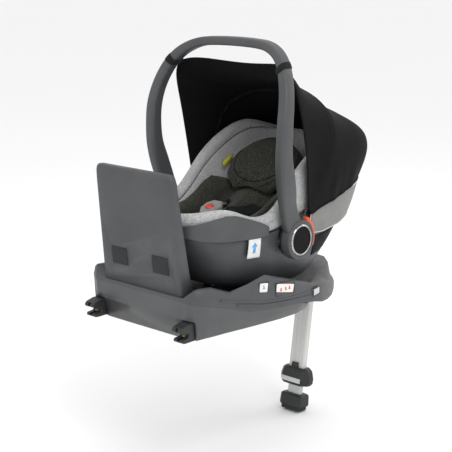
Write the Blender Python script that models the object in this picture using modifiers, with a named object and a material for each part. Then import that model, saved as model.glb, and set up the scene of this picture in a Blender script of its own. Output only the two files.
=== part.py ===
"""Infant car seat on its ISOFIX base with a support leg.

Frame: +X is the seat's side, -Y is the foot end (rebound panel and ISOFIX
connectors), +Y is the head end (support leg), +Z is up.  The origin is the
middle of the base's flat underside.  Metres throughout.
"""
import math

import bmesh
import bpy
import numpy as np
from mathutils import Matrix, Vector
from mathutils.bvhtree import BVHTree

# ---------------------------------------------------------------- dimensions
GAP = 0.0003              # air left between touching pieces
WALL = 0.0035             # moulded housing wall
BASE_FRONT_Y = -0.280     # front wall of the base
BASE_NOSE_Y = 0.349       # rounded end over the support leg
ISOFIX_X = 0.140          # half of the 280 mm between the anchor bars
HUB_Y, HUB_Z = 0.035, 0.180   # handle axis
HUB_R = 0.0465            # handle hub radius
HUB_IN, HUB_OUT = 0.1780, 0.2010   # inner and outer face of a handle hub
LEG_PIVOT = (0.0, 0.3187, 0.025)
LEG_TILT = math.radians(8.2)
LEG_W, LEG_D = 0.046, 0.020        # support leg extrusion
TUBE_W, TUBE_D = 0.0405, 0.0145    # inner tube of the leg
SOLE_S = 0.3815           # pivot to sole, along the leg
PIN_R = 0.0040

for ob in list(bpy.data.objects):
    bpy.data.objects.remove(ob, do_unlink=True)

PARTS = bpy.data.collections.new("infant_car_seat")
CUTTERS = bpy.data.collections.new("cutters")
bpy.context.scene.collection.children.link(PARTS)
bpy.context.scene.collection.children.link(CUTTERS)


# ---------------------------------------------------------------- materials
def material(name, colour, rough, metal=0.0):
    m = bpy.data.materials.new(name)
    m.use_nodes = True
    b = m.node_tree.nodes["Principled BSDF"]
    b.inputs["Base Color"].default_value = (*colour, 1.0)
    b.inputs["Roughness"].default_value = rough
    b.inputs["Metallic"].default_value = metal
    return m


PLASTIC = ((0.105, 0.110, 0.116), 0.55)
LOWER = ((0.170, 0.175, 0.175), 0.45)
DARK = ((0.045, 0.047, 0.049), 0.50)
STEEL = ((0.55, 0.56, 0.57), 0.35, 1.0)
SILVER = ((0.68, 0.69, 0.67), 0.38)
LIGHT_FABRIC = ((0.48, 0.49, 0.49), 0.95)
SKIRT_FABRIC = ((0.29, 0.30, 0.29), 0.92)
DARK_FABRIC = ((0.050, 0.053, 0.045), 0.95)
BLACK_FABRIC = ((0.012, 0.013, 0.013), 0.95)
WEBBING = ((0.020, 0.021, 0.022), 0.85)
BLACK = ((0.010, 0.010, 0.011), 0.30)
RED = ((0.70, 0.06, 0.04), 0.40)
ORANGE = ((0.75, 0.085, 0.02), 0.42)
WHITE = ((0.80, 0.80, 0.78), 0.45)
FOAM = ((0.75, 0.75, 0.73), 0.90)
GREY = ((0.30, 0.31, 0.31), 0.45)


# ---------------------------------------------------------------- helpers
def smooth(me, angle=40):
    me.shade_smooth()
    me.set_sharp_from_angle(angle=math.radians(angle))


def make(name, bm, look, angle=40, where=PARTS):
    me = bpy.data.meshes.new(name)
    bm.to_mesh(me)
    bm.free()
    ob = bpy.data.objects.new(name, me)
    where.objects.link(ob)
    if look is not None:
        me.materials.append(material(name + "_look", *look))
    smooth(me, angle)
    return ob


def evaluated(ob):
    """A plain mesh of the object with its modifiers, in world space."""
    bpy.context.view_layer.update()
    deps = bpy.context.evaluated_depsgraph_get()
    me = bpy.data.meshes.new_from_object(ob.evaluated_get(deps))
    me.transform(ob.matrix_world)
    return me


def bake(ob):
    """Replace the object's mesh by its evaluated one and drop the modifiers."""
    me = evaluated(ob)
    bm = bmesh.new()
    bm.from_mesh(me)
    bmesh.ops.remove_doubles(bm, verts=bm.verts, dist=3e-6)
    bmesh.ops.dissolve_degenerate(bm, edges=bm.edges, dist=2e-6)
    bm.to_mesh(me)
    bm.free()
    ob.modifiers.clear()
    old = ob.data
    ob.data = me
    ob.matrix_world = Matrix.Identity(4)
    me.name = old.name
    return ob


def skin(rings, closed_ring=True, cap_first=False, cap_last=False):
    """Quads between successive rings of equal length, with optional caps."""
    bm = bmesh.new()
    vs = [[bm.verts.new(p) for p in r] for r in rings]
    n = len(rings[0])
    for a, b in zip(vs, vs[1:]):
        for i in range(n if closed_ring else n - 1):
            j = (i + 1) % n
            quad = [a[i], a[j], b[j], b[i]]
            try:
                bm.faces.new(quad)
            except ValueError:
                pass
    if cap_first:
        bm.faces.new(vs[0])
    if cap_last == "fan":
        c = bm.verts.new(sum((v.co for v in vs[-1]), Vector()) / n)
        for i in range(n):
            bm.faces.new([vs[-1][i], vs[-1][(i + 1) % n], c])
    elif cap_last:
        bm.faces.new(vs[-1])
    return bm


def loft(name, rings, look, angle=40, where=PARTS):
    """A closed solid through rings of points, capped at both ends."""
    bm = skin(rings, cap_first=True, cap_last=True)
    bmesh.ops.recalc_face_normals(bm, faces=bm.faces)
    return make(name, bm, look, angle, where)


def outward(bm, centre):
    """Turn an open surface so that its faces look away from a point."""
    bmesh.ops.recalc_face_normals(bm, faces=bm.faces)
    c = Vector(centre)
    s = sum(f.normal.dot(f.calc_center_median() - c) * f.calc_area() for f in bm.faces)
    if s < 0:
        bmesh.ops.reverse_faces(bm, faces=bm.faces)


def solidify(ob, thick, offset=-1.0):
    m = ob.modifiers.new("wall", "SOLIDIFY")
    m.thickness = thick
    m.offset = offset
    m.use_even_offset = False
    m.use_quality_normals = True
    return m


def subsurf(ob, levels=1):
    m = ob.modifiers.new("smooth", "SUBSURF")
    m.levels = levels
    m.render_levels = levels
    return m


def bevel(ob, width, seg=2, angle=35):
    m = ob.modifiers.new("edges", "BEVEL")
    m.width = width
    m.segments = seg
    m.limit_method = "ANGLE"
    m.angle_limit = math.radians(angle)
    m.harden_normals = False
    return m


def boolean(ob, other, op="DIFFERENCE"):
    m = ob.modifiers.new(op.lower(), "BOOLEAN")
    m.operation = op
    m.solver = "EXACT"
    m.object = other
    if other.name in PARTS.objects:
        PARTS.objects.unlink(other)
        CUTTERS.objects.link(other)
    other.hide_render = True
    other.display_type = "WIRE"
    return m


def box(name, lo, hi, look=None, r=0.0, seg=2, where=None, rot=None):
    """A block between two corners, with rounded edges if r is given."""
    lo, hi = Vector(lo), Vector(hi)
    bm = bmesh.new()
    bmesh.ops.create_cube(bm, size=1.0)
    bmesh.ops.scale(bm, vec=hi - lo, verts=bm.verts)
    where = where or (PARTS if look else CUTTERS)
    ob = make(name, bm, look, 40, where)
    ob.location = (lo + hi) / 2
    if rot is not None:
        ob.rotation_euler = rot
    if r:
        bevel(ob, r, seg)
    return ob


def rod(name, a, b, r, look=None, n=20, where=None, r2=None, bev=0.0):
    """A cylinder or cone from a to b."""
    a, b = Vector(a), Vector(b)
    bm = bmesh.new()
    bmesh.ops.create_cone(bm, cap_ends=True, segments=n, radius1=r,
                          radius2=r if r2 is None else r2, depth=(b - a).length)
    where = where or (PARTS if look else CUTTERS)
    ob = make(name, bm, look, 40, where)
    ob.location = (a + b) / 2
    ob.rotation_euler = (b - a).to_track_quat("Z", "Y").to_euler()
    if bev:
        bevel(ob, bev, 2)
    return ob


def outline(name, pts, x0, x1, look=None, where=None, r=0.0):
    """A flat outline in the YZ plane, extruded from x0 to x1."""
    cu = bpy.data.curves.new(name, "CURVE")
    cu.dimensions = "2D"
    cu.fill_mode = "BOTH"
    cu.extrude = abs(x1 - x0) / 2
    sp = cu.splines.new("POLY")
    sp.points.add(len(pts) - 1)
    for p, (y, z) in zip(sp.points, pts):
        p.co = (y, z, 0, 1)
    sp.use_cyclic_u = True
    tmp = bpy.data.objects.new(name + "_curve", cu)
    PARTS.objects.link(tmp)
    bpy.context.view_layer.update()
    me = bpy.data.meshes.new_from_object(
        tmp.evaluated_get(bpy.context.evaluated_depsgraph_get()))
    bpy.data.objects.remove(tmp, do_unlink=True)
    bm = bmesh.new()
    bm.from_mesh(me)
    bmesh.ops.remove_doubles(bm, verts=bm.verts, dist=1e-6)
    # curve plane (u, v, w) becomes (w + x, u, v)
    xm = (x0 + x1) / 2
    for v in bm.verts:
        v.co = Vector((v.co.z + xm, v.co.x, v.co.y))
    bmesh.ops.recalc_face_normals(bm, faces=bm.faces)
    where = where or (PARTS if look else CUTTERS)
    ob = make(name, bm, look, 40, where)
    if r:
        bevel(ob, r, 1)
    return ob


def mirrored(name, src, look=None):
    """The same piece on the other side, as an object of its own."""
    me = evaluated(src)
    for v in me.vertices:
        v.co.x = -v.co.x
    me.flip_normals()
    ob = bpy.data.objects.new(name, me)
    PARTS.objects.link(ob)
    me.name = name
    if look:
        me.materials.clear()
        me.materials.append(material(name + "_look", *look))
    return ob


def lerp(a, b, t):
    return a + (b - a) * t


def along(y, pts):
    """Value at y on the broken line through (y, value) pairs."""
    return float(np.interp(y, [p[0] for p in pts], [p[1] for p in pts]))


def mirror_loop(half):
    """A full loop from a half outline that starts and ends at x = 0."""
    return half + [(-x, y, z) for x, y, z in reversed(half[1:-1])]


def inset(half, d):
    """Half outline moved inwards by d[i], square to the outline."""
    full = mirror_loop([(x, y, 0) for x, y in half])
    out = []
    n = len(full)
    for i in range(len(half)):
        a, b = full[i - 1], full[(i + 1) % n]
        tx, ty = b[0] - a[0], b[1] - a[1]
        k = math.hypot(tx, ty)
        nx, ny = ty / k, -tx / k       # outward for a loop that runs +X then +Y
        out.append((half[i][0] - nx * d[i], half[i][1] - ny * d[i]))
    out[0] = (0.0, out[0][1])
    out[-1] = (0.0, out[-1][1])
    return out


# ---------------------------------------------------------------- base
BASE = [(0, -.280), (.1255, -.280), (.148, -.280), (.165, -.272), (.169, -.23),
        (.176, -.175), (.184, -.125), (.191, -.075), (.198, -.02), (.202, .035),
        (.200, .085), (.191, .13), (.176, .17), (.158, .21), (.133, .25),
        (.099, .296), (.054, .337), (0, .349)]
SEAM = [.088, .088, .087, .086, .074, .060, .043, .038, .034, .030, .022, .010,
        .004, .002, .001, .001, .001, .001]
RIM = [.096, .096, .112, .120, .117, .096, .104, .117, .101, .083, .068, .063,
       .050, .036, .026, .024, .024, .024]
DECK_Y = [(-.22, .093), (-.15, .068), (-.10, .057), (-.05, .050), (.16, .022), (.25, .022)]


def deck(y):
    return along(y, DECK_Y)


def base_ring(d, z, front=(), nose=()):
    """A ring of the tray: the outline moved in by d, at heights z.  The
    first columns, round the front corner, and the last ones, round the
    nose, may be given outright."""
    half = inset(BASE, d)
    pts = [(x, y, z[i] if not callable(z) else z(i, y)) for i, (x, y) in enumerate(half)]
    for i, (x, y, h) in enumerate(front):
        pts[i] = (x, y, deck(y) if h is None else h)
    for i, (x, y, h) in enumerate(nose):
        pts[len(pts) - len(nose) + i] = (x, y, deck(y) if h is None else h)
    return mirror_loop(pts)


def upper_rings():
    """The tray from its parting line up over the rim and down to the deck."""
    nose = lambda i: i >= 13
    r0 = base_ring([0] * 18, SEAM)
    r1 = base_ring([0] * 3 + [-.001] * 15, [s + min(.010, .3 * (r - s)) for r, s in zip(RIM, SEAM)])
    r2 = base_ring([.0005] * 3 + [.003] * 15, [r - min(.006, .3 * (r - s)) for r, s in zip(RIM, SEAM)])
    r3 = base_ring([.004] * 3 + [.009] * 15, RIM)
    d4 = [.042, .042, .038, .030, .022] + [.020] * 6 + [.020, .022] + [.024, .019, .016, .016, .016]
    z4 = [.096, .096, .097, .116, .110] + [r - .007 for r in RIM[5:11]] + \
         [.063, .056, .052, .056, .058, .058, .058]
    r4 = base_ring(d4, z4, [(0, -.238, .096), (.1255, -.238, .096), (.133, -.2375, .100),
                            (.143, -.232, .113), (.1475, -.214, .109)])
    d5 = [.052, .052, .050, .045, .042] + [.042] * 6 + [.044, .050, .060, .072, .078, .080, .080]
    z5 = [.088, .088, .088, .100, .092]
    for i in range(5, 12):
        z5.append(deck(BASE[i][1]) + .014)
    z5 += [.040, .048, .054, .056, .056, .056]
    r5 = base_ring(d5, z5, [(0, -.228, .088), (.112, -.228, .088), (.121, -.2265, .089),
                            (.130, -.219, .098), (.1345, -.201, .092)],
                   [(.119, .184, .048), (.098, .213, .054), (.068, .238, .056), (.035, .252, .056),
                    (0, .256, .056)])
    d6 = [.075, .075, .075, .070, .064] + [.060] * 6 + [.064, .075, .092, .108, .122, .134, .140]
    r6 = base_ring(d6, lambda i, y: deck(y), [(0, -.206, None), (.098, -.206, None), (.108, -.203, None),
                                              (.113, -.196, None), (.1165, -.183, None)],
                   [(.096, .152, None), (.080, .176, None), (.056, .192, None), (.028, .199, None),
                    (0, .201, None)])
    r7 = [(x * .55, lerp(.02, y, .55), deck(lerp(.02, y, .55))) for x, y, z in r6]
    return [r0, r1, r2, r3, r4, r5, r6, r7]


def base_upper():
    bm = skin(upper_rings(), cap_last="fan")
    outward(bm, (0, 0, -1.0))
    ob = make("base_upper_housing", bm, PLASTIC)
    solidify(ob, WALL)
    return ob


LOWER_HALF = [(0, -.280), (.1255, -.280), (.148, -.280), (.165, -.272), (.169, -.23),
              (.176, -.175), (.184, -.125), (.191, -.075), (.198, -.02), (.2015, .035),
              (.1985, .075), (.185, .104), (.140, .116), (.07, .119), (0, .120)]
LOWER_SEAM = [.088, .088, .087, .086, .074, .060, .043, .038, .034, .030, .0235,
              .0235, .0235, .0235, .0235]


def lower_ring(d, z):
    full = mirror_loop([(x, y, 0) for x, y in LOWER_HALF])
    n = len(full)
    half = []
    for i, (x, y) in enumerate(LOWER_HALF):
        a, b = full[i - 1], full[(i + 1) % n]
        k = math.hypot(b[0] - a[0], b[1] - a[1])
        nx, ny = (b[1] - a[1]) / k, -(b[0] - a[0]) / k
        half.append((x - nx * d[i], y - ny * d[i], z[i]))
    half[0] = (0.0, *half[0][1:])
    half[-1] = (0.0, *half[-1][1:])
    return mirror_loop(half)


def base_lower():
    # the tub's back end sits inside the tray, behind the parting line
    d0 = [0.0] * 9 + [.002, .006, .012, .010, .008, .008]
    top = [s - GAP for s in LOWER_SEAM]
    top[10:] = [.0190] * 5
    r0 = lower_ring(d0, top)
    r1 = lower_ring([v + .002 for v in d0], [lerp(.012, t, .45) for t in top])
    r2 = lower_ring([v + .008 for v in d0], [.0045] * 15)
    r3 = lower_ring([v + .015 for v in d0], [.0] * 15)
    bm = skin([r0, r1, r2, r3], cap_last=True)
    outward(bm, (0, 0, 1.0))
    ob = make("base_lower_housing", bm, LOWER)
    solidify(ob, .003)
    return ob


base_top = bake(base_upper())
base_bottom = bake(base_lower())

# ISOFIX connector openings in the front wall and the floor behind it
for s in (-1, 1):
    boolean(base_bottom, box(f"isofix_mouth_{s}", (s * ISOFIX_X - .0165, -.30, -.01),
                             (s * ISOFIX_X + .0165, -.2300, .0475)))


# ------------------------------------------------- rebound panel
def rounded_rect(w, d, r, cx, cy, z, k=4):
    """Rounded rectangle in plan: w along X, d along Y, centred at (cx, cy)."""
    pts = []
    for qx, qy, a0 in ((1, -1, -90), (1, 1, 0), (-1, 1, 90), (-1, -1, 180)):
        for i in range(k):
            a = math.radians(a0 + 90 * i / (k - 1))
            pts.append((cx + qx * (w / 2 - r) + r * math.cos(a),
                        cy + qy * (d / 2 - r) + r * math.sin(a), z))
    return pts


def panel_rings():
    rings = []
    for z, w, yf, yb, r in ((.0965, .248, -.2765, -.2400, .006), (.16, .247, -.2835, -.2515, .008),
                            (.25, .244, -.2930, -.2665, .009), (.335, .240, -.3020, -.2790, .0095),
                            (.352, .238, -.3035, -.2815, .0095), (.3605, .232, -.3030, -.2835, .008),
                            (.3645, .222, -.3000, -.2870, .005)):
        rings.append([(x, y, z + .004 * (1 - (x / .12) ** 2) * max(0, z - .30) / .065)
                      for x, y, z in rounded_rect(w, yb - yf, r, 0, (yf + yb) / 2, z)])
    return rings


panel = loft("rebound_panel", panel_rings(), PLASTIC)
# the panel is a moulding open at the back, closed by a cover let into it
lean = math.atan2(.2815 - .2400, .352 - .0965)
tilt = Matrix.Rotation(lean, 4, "X")


def in_panel(x, t, up):
    """Point on the panel's back plane: t is depth into the panel."""
    p = Vector((0, -.2400, .0965)) + Vector((0, -math.sin(lean), math.cos(lean))) * up
    return p + Vector((x, -math.cos(lean) * t, -math.sin(lean) * t))


def slab_in_panel(name, w0, w1, up0, up1, t0, t1, look=None, where=None):
    rings = []
    for t in (t0, t1):
        rings.append([in_panel(-w0, t, up0), in_panel(w0, t, up0),
                      in_panel(w1, t, up1), in_panel(-w1, t, up1)])
    return loft(name, rings, look, where=where or (PARTS if look else CUTTERS))


boolean(panel, slab_in_panel("panel_pocket", .1130, .1090, .012, .244, -.010, .0036))
boolean(panel, slab_in_panel("panel_hollow", .1060, .1020, .022, .236, .0030, .0120))
bake(panel)
slab_in_panel("rebound_panel_back_cover", .1127, .1087, .0123, .2437, 0.0, .0032, PLASTIC)
# soft pads let into the front face
for side, s in (("left", -1), ("right", 1)):
    fl = math.atan2(.2930 - .2765, .25 - .0965)
    c = Vector((s * .064, -.2832, .159))
    cut = box(f"pad_pocket_{side}", (-.0243, -.0016, -.0203), (.0243, .0016, .0203))
    cut.location = c
    cut.rotation_euler = (fl, 0, 0)
    boolean(panel, cut)
    pad = box(f"rebound_pad_{side}", (-.024, -.0012, -.020), (.024, .0013, .020), DARK, .0006, 1)
    pad.location = c
    pad.rotation_euler = (fl, 0, 0)

# ------------------------------------------------- windows and release button
def wall_frame(y):
    """Point on the tray's outline at y and the outward direction there."""
    pts = [p for p in BASE if p[0] > .15]
    x = float(np.interp(y, [p[1] for p in pts], [p[0] for p in pts]))
    x2 = float(np.interp(y + .01, [p[1] for p in pts], [p[0] for p in pts]))
    x1 = float(np.interp(y - .01, [p[1] for p in pts], [p[0] for p in pts]))
    t = Vector((x2 - x1, .02, 0)).normalized()
    return Vector((x, y, 0)), Vector((t.y, -t.x, 0)), t


def side_piece(name, y, z, w, h, deep, proud, look, r=.0008, drop=0.0):
    """A plate let into the tray's side, with its pocket through the wall."""
    p, nrm, tan = wall_frame(y)
    t3 = (tan + Vector((0, 0, -drop))).normalized()
    up = nrm.cross(t3)
    m = Matrix((nrm, t3, up)).transposed().to_4x4()
    m.translation = p + Vector((0, 0, z))
    cut = box(name + "_pocket", (-.03, -w / 2 - GAP, -h / 2 - GAP), (.02, w / 2 + GAP, h / 2 + GAP))
    cut.data.transform(Matrix.Translation(cut.location))
    cut.matrix_world = m
    boolean(base_top, cut)
    ob = box(name, (-deep, -w / 2, -h / 2), (proud, w / 2, h / 2), look, r, 2)
    ob.data.transform(Matrix.Translation(ob.location))
    ob.matrix_world = m
    return ob, nrm, m


side_piece("indicator_window_single", -.082, .0895, .0245, .0210, .0075, -.0015, WHITE, drop=.16)
side_piece("indicator_window_triple", -.017, .0765, .0560, .0195, .0075, -.0010, WHITE, drop=.20)
button, button_dir, button_m = side_piece("carrier_release_button", .098, .0440, .030, .016,
                                          .0120, .0015, SILVER, .0018)

# ------------------------------------------------- latch under the tray
# steel bars across the shell's belly, a rear post with a beak beside each bar
BAR_Y = (-.075, .068)
BAR_R = .0040


def belly(y):
    return along(y, [(-.20, .118), (-.153, .088), (-.097, .0755), (.16, .0405), (.21, .044)])


slots = []
for k, y in enumerate(BAR_Y):
    cut = box(f"latch_slot_{k}", (-.0125, y + .0020, -.01), (.0125, y + .0280, .11))
    boolean(base_top, cut)
posts = []
plate = box("latch_slider", (-.024, -.095, .0080), (.024, .088, .0110), STEEL)
for k, y in enumerate(BAR_Y):
    zb = belly(y) - .0065
    hook = outline(f"latch_post_{k}", [
        (y + .0090, .0100), (y + .0165, .0100), (y + .0165, zb + .0035),
        (y + .0060, zb + .0062), (y + .0048, zb + .0030), (y + .0090, zb + .0010)],
        -.0105, .0105)
    boolean(plate, hook, "UNION")
bake(plate)

# ------------------------------------------------- leg
LU = Vector((0, -math.sin(LEG_TILT), -math.cos(LEG_TILT)))    # down the leg
LV = Vector((0, -math.cos(LEG_TILT), math.sin(LEG_TILT)))     # to its front
LP = Vector(LEG_PIVOT)


def leg_pt(x, v, s):
    """x across, v towards the foot end, s down the leg from the pivot."""
    return LP + Vector((x, 0, 0)) + LV * v + LU * s


def leg_loft(name, rows, look, angle=40, where=PARTS):
    """rows: (s, list of (x, v)) sections."""
    return loft(name, [[leg_pt(x, v, s) for x, v in sec] for s, sec in rows], look, angle, where)


def rect_sec(w, d, r, k=3):
    return [(x, y) for x, y, _ in rounded_rect(w, d, r, 0, 0, 0, k)]


def extrusion(w, d):
    """Half-round edged flat section with two shallow grooves front and back."""
    h, g = d / 2, .0012
    front = [(-w / 2 + .004, h), (-.0085, h), (-.0075, h - g), (-.0055, h - g), (-.0045, h),
             (.0045, h), (.0055, h - g), (.0075, h - g), (.0085, h), (w / 2 - .004, h)]
    side = [(w / 2 - .0012, h - .0012), (w / 2, h - .004), (w / 2, -h + .004), (w / 2 - .0012, -h + .0012)]
    half = front + side
    return half + [(-x, -y) for x, y in half]


leg_top = leg_loft("leg_upper_tube", [(s, extrusion(LEG_W, LEG_D)) for s in (-.0072, .3000)], SILVER)
bore = leg_loft("leg_bore", [(s, rect_sec(TUBE_W + .0008, TUBE_D + .0008, .003)) for s in (.015, .31)],
                None, where=CUTTERS)
boolean(leg_top, bore)
boolean(leg_top, rod("leg_pin_hole", leg_pt(-.04, 0, 0), leg_pt(.04, 0, 0), PIN_R + .00018, n=24))
bake(leg_top)

leg_low = leg_loft("leg_lower_tube", [(s, rect_sec(TUBE_W, TUBE_D, .003)) for s in (.165, .3480)], WHITE)
for k in range(5):                       # locking notches along the back
    s = .205 + .022 * k
    cut = leg_loft(f"notch_{k}", [(s, [(-.010, -.0085), (.010, -.0085), (.010, -.0058), (-.010, -.0058)]),
                                  (s + .006, [(-.010, -.0085), (.010, -.0085), (.010, -.0058), (-.010, -.0058)])],
                   None, where=CUTTERS)
    boolean(leg_low, cut)
bake(leg_low)


def collar_sec(w, df, db, c):
    """Faceted plan: df to the front, db to the back, corners cut by c."""
    return [(-w / 2 + c, df), (w / 2 - c, df), (w / 2, df - c * 1.1), (w / 2, -db + c * .8),
            (w / 2 - c * .8, -db), (-w / 2 + c * .8, -db), (-w / 2, -db + c * .8), (-w / 2, df - c * 1.1)]


collar = leg_loft("leg_collar", [(.2680, collar_sec(.066, .0170, .0170, .010)),
                                 (.2745, collar_sec(.082, .0235, .0215, .014)),
                                 (.2930, collar_sec(.095, .0270, .0235, .018)),
                                 (.3060, collar_sec(.093, .0265, .0230, .018)),
                                 (.3130, collar_sec(.080, .0205, .0190, .014))], DARK, 25)
tab = leg_loft("collar_tab", [(.2550, rect_sec(.020, .0040, .0015)), (.2750, rect_sec(.022, .0060, .0015))],
               None, where=CUTTERS)
tab.location = LV * .0128
boolean(collar, tab, "UNION")
boolean(collar, leg_loft("collar_bore_up", [(s, rect_sec(LEG_W + .0006, LEG_D + .0006, .0035)) for s in (.25, .3003)],
                         None, where=CUTTERS))
boolean(collar, leg_loft("collar_bore_low", [(s, rect_sec(TUBE_W + .0008, TUBE_D + .0008, .003)) for s in (.29, .32)],
                         None, where=CUTTERS))
boolean(collar, leg_loft("collar_window", [(s, [(-.0305, .0172), (.0305, .0172), (.0305, .035), (-.0305, .035)])
                                           for s in (.2925, .3053)], None, where=CUTTERS))
bake(collar)
leg_loft("leg_adjust_button", [(s, [(-.0300, .0215), (-.026, .0205), (.026, .0205), (.0300, .0215),
                                    (.0300, .0262), (.022, .0276), (-.022, .0276), (-.0300, .0262)])
                               for s in (.2930, .3048)], GREY)

foot = leg_loft("leg_foot", [(.3385, rect_sec(.058, .036, .006, 4)), (.3420, rect_sec(.066, .044, .008, 4)),
                             (.3650, rect_sec(.068, .046, .008, 4)), (.3700, rect_sec(.066, .044, .008, 4))], DARK)
boolean(foot, leg_loft("foot_socket", [(s, rect_sec(TUBE_W + .0006, TUBE_D + .0006, .003)) for s in (.33, .3483)],
                       None, where=CUTTERS))
bake(foot)
leg_loft("foot_sole", [(.3703, rect_sec(.060, .038, .007, 4)), (.3800, rect_sec(.060, .038, .007, 4)),
                       (SOLE_S, rect_sec(.057, .035, .006, 4))], DARK)

# hinge: a steel bracket under the nose holds the pin
bracket = box("leg_hinge_bracket", (-.0340, .292, .0440), (.0340, .3175, .0465), STEEL)
for s in (-1, 1):
    cheek = outline(f"bracket_cheek_{s}", [(.301, .0455), (.3165, .0455), (.3250, .034), (.3265, .024),
                                           (.3240, .016), (.3150, .014), (.303, .020)],
                    s * .0300 - .0015, s * .0300 + .0015)
    boolean(bracket, cheek, "UNION")
boolean(bracket, rod("bracket_holes", (-.05, LP.y, LP.z), (.05, LP.y, LP.z), PIN_R + .0003, n=24))
bake(bracket)
pin = rod("leg_hinge_pin", (-.0350, LP.y, LP.z), (.0350, LP.y, LP.z), PIN_R, STEEL, n=24)

# ------------------------------------------------- ISOFIX arms
def isofix(side, s):
    cx = s * ISOFIX_X
    con = outline(f"isofix_connector_{side}", [
        (-.2360, .0045), (-.2980, .0045), (-.3060, .0060), (-.3080, .0100), (-.3060, .0135),
        (-.2900, .0150), (-.2860, .0190), (-.2880, .0235), (-.3020, .0260), (-.3120, .0300),
        (-.3130, .0350), (-.3080, .0400), (-.2880, .0450), (-.2360, .0450)],
        cx - .0145, cx + .0145, DARK, r=.0012)
    boolean(con, box(f"claw_slot_{side}", (cx - .0035, -.330, .0085), (cx + .0035, -.2640, .0390)))
    boolean(con, box(f"arm_socket_{side}", (cx - .0103, -.2600, .0147), (cx + .0103, -.2300, .0293)))
    boolean(con, rod(f"claw_pin_hole_{side}", (cx - .0100, -.2760, .0300), (cx + .0100, -.2760, .0300), .0022, n=12))
    bake(con)
    arm = box(f"isofix_arm_{side}", (cx - .0100, -.2597, .0150), (cx + .0100, -.040, .0290), STEEL, .002, 1)
    boolean(arm, box(f"arm_hollow_{side}", (cx - .0080, -.27, .0170), (cx + .0080, .0, .0270)))
    # claw: hook that closes behind the anchor bar, on its own pin
    c = (-.2760, .0300)
    pts = []
    for a in range(0, 181, 30):
        pts.append((c[0] + .0050 * math.cos(math.radians(a)), c[1] + .0050 * math.sin(math.radians(a))))
    pts += [(-.2830, .0265), (-.2845, .0200), (-.2915, .0185), (-.2915, .0160), (-.2790, .0150),
            (-.2730, .0200), (-.2705, .0260)]
    claw = outline(f"isofix_claw_{side}", pts, cx - .0028, cx + .0028,
                   ((.42, .40, .08), .45))
    boolean(claw, rod(f"claw_axle_{side}", (cx - .0098, c[0], c[1]), (cx + .0098, c[0], c[1]), .0019, n=12), "UNION")
    bake(claw)


isofix("left", -1)
isofix("right", 1)

bake(base_bottom)
bake(base_top)

# ================================================================ carrier
# plan of every ring, foot end to head end: x over the half width, y from -1 to 1
PLAN = [(0, -1), (.40, -.99), (.70, -.935), (.885, -.78), (.97, -.52), (1, -.24), (1, .04),
        (.99, .33), (.925, .62), (.745, .84), (.42, .965), (0, 1)]


def cradle_ring(b, yf, yh, z, grow=0.0):
    """A ring of the carrier: half width b, from yf to yh, height z(y)."""
    half = []
    for px, py in PLAN:
        y = lerp(yf - grow, yh + grow, (py + 1) / 2)
        half.append((px * (b + grow), y, z(y) if callable(z) else z))
    return mirror_loop(half)


CREASE = [(-.26, .222), (-.22, .210), (-.17, .204), (-.10, .200), (-.04, .198), (.02, .205),
          (.08, .225), (.16, .240), (.25, .255), (.37, .268)]
RIM_Z = [(-.26, .262), (-.22, .273), (-.175, .279), (-.145, .275), (-.115, .262), (-.092, .248),
         (-.060, .242), (-.030, .247), (.000, .258), (.030, .290), (.070, .335), (.110, .363),
         (.150, .384), (.200, .403), (.240, .408), (.275, .400), (.310, .386), (.350, .374), (.40, .370)]
FLOOR = [(-.24, .236), (-.20, .215), (-.15, .190), (-.08, .172), (.00, .168), (.06, .182),
         (.12, .220), (.20, .285), (.26, .335), (.31, .375)]


def crease(y):
    return along(y, CREASE)


def rim(y):
    return along(y, RIM_Z)


def floor_z(y):
    return along(y, FLOOR)


def outer_rings():
    """Outside of the plastic shell, from the rim down to the belly."""
    return [cradle_ring(.1680, -.2520, .3880, crease),
            cradle_ring(.1675, -.2460, .3800, lambda y: crease(y) - .012),
            cradle_ring(.1600, -.2180, .3300, lambda y: .158 + .06 * (y - .03) * (y > .03)),
            cradle_ring(.1490, -.1850, .2680, lambda y: .112),
            cradle_ring(.1280, -.1500, .2180, lambda y: along(y, [(-.16, .090), (-.1, .080), (.16, .050), (.22, .056)])),
            cradle_ring(.0900, -.1150, .1780, belly)]


bm = skin(outer_rings(), cap_last="fan")
outward(bm, (0, 0, 1.0))
shell = make("seat_shell", bm, PLASTIC)
subsurf(shell, 1)
solidify(shell, .0040)
bake(shell)

# light fabric cover: rolls over the rim and lines the inside
def inner_rings():
    return [cradle_ring(.1420, -.2260, .3420, lambda y: rim(y) - .010),
            cradle_ring(.1290, -.2080, .3220, lambda y: lerp(floor_z(y), rim(y), .55)),
            cradle_ring(.1130, -.1850, .2950, lambda y: lerp(floor_z(y), rim(y), .16)),
            cradle_ring(.0780, -.1450, .2480, floor_z)]


INNER = inner_rings()
OUT = outer_rings()


def between(a, b, t):
    return [tuple(lerp(Vector(p), Vector(q), t)) for p, q in zip(a, b)]


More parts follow.
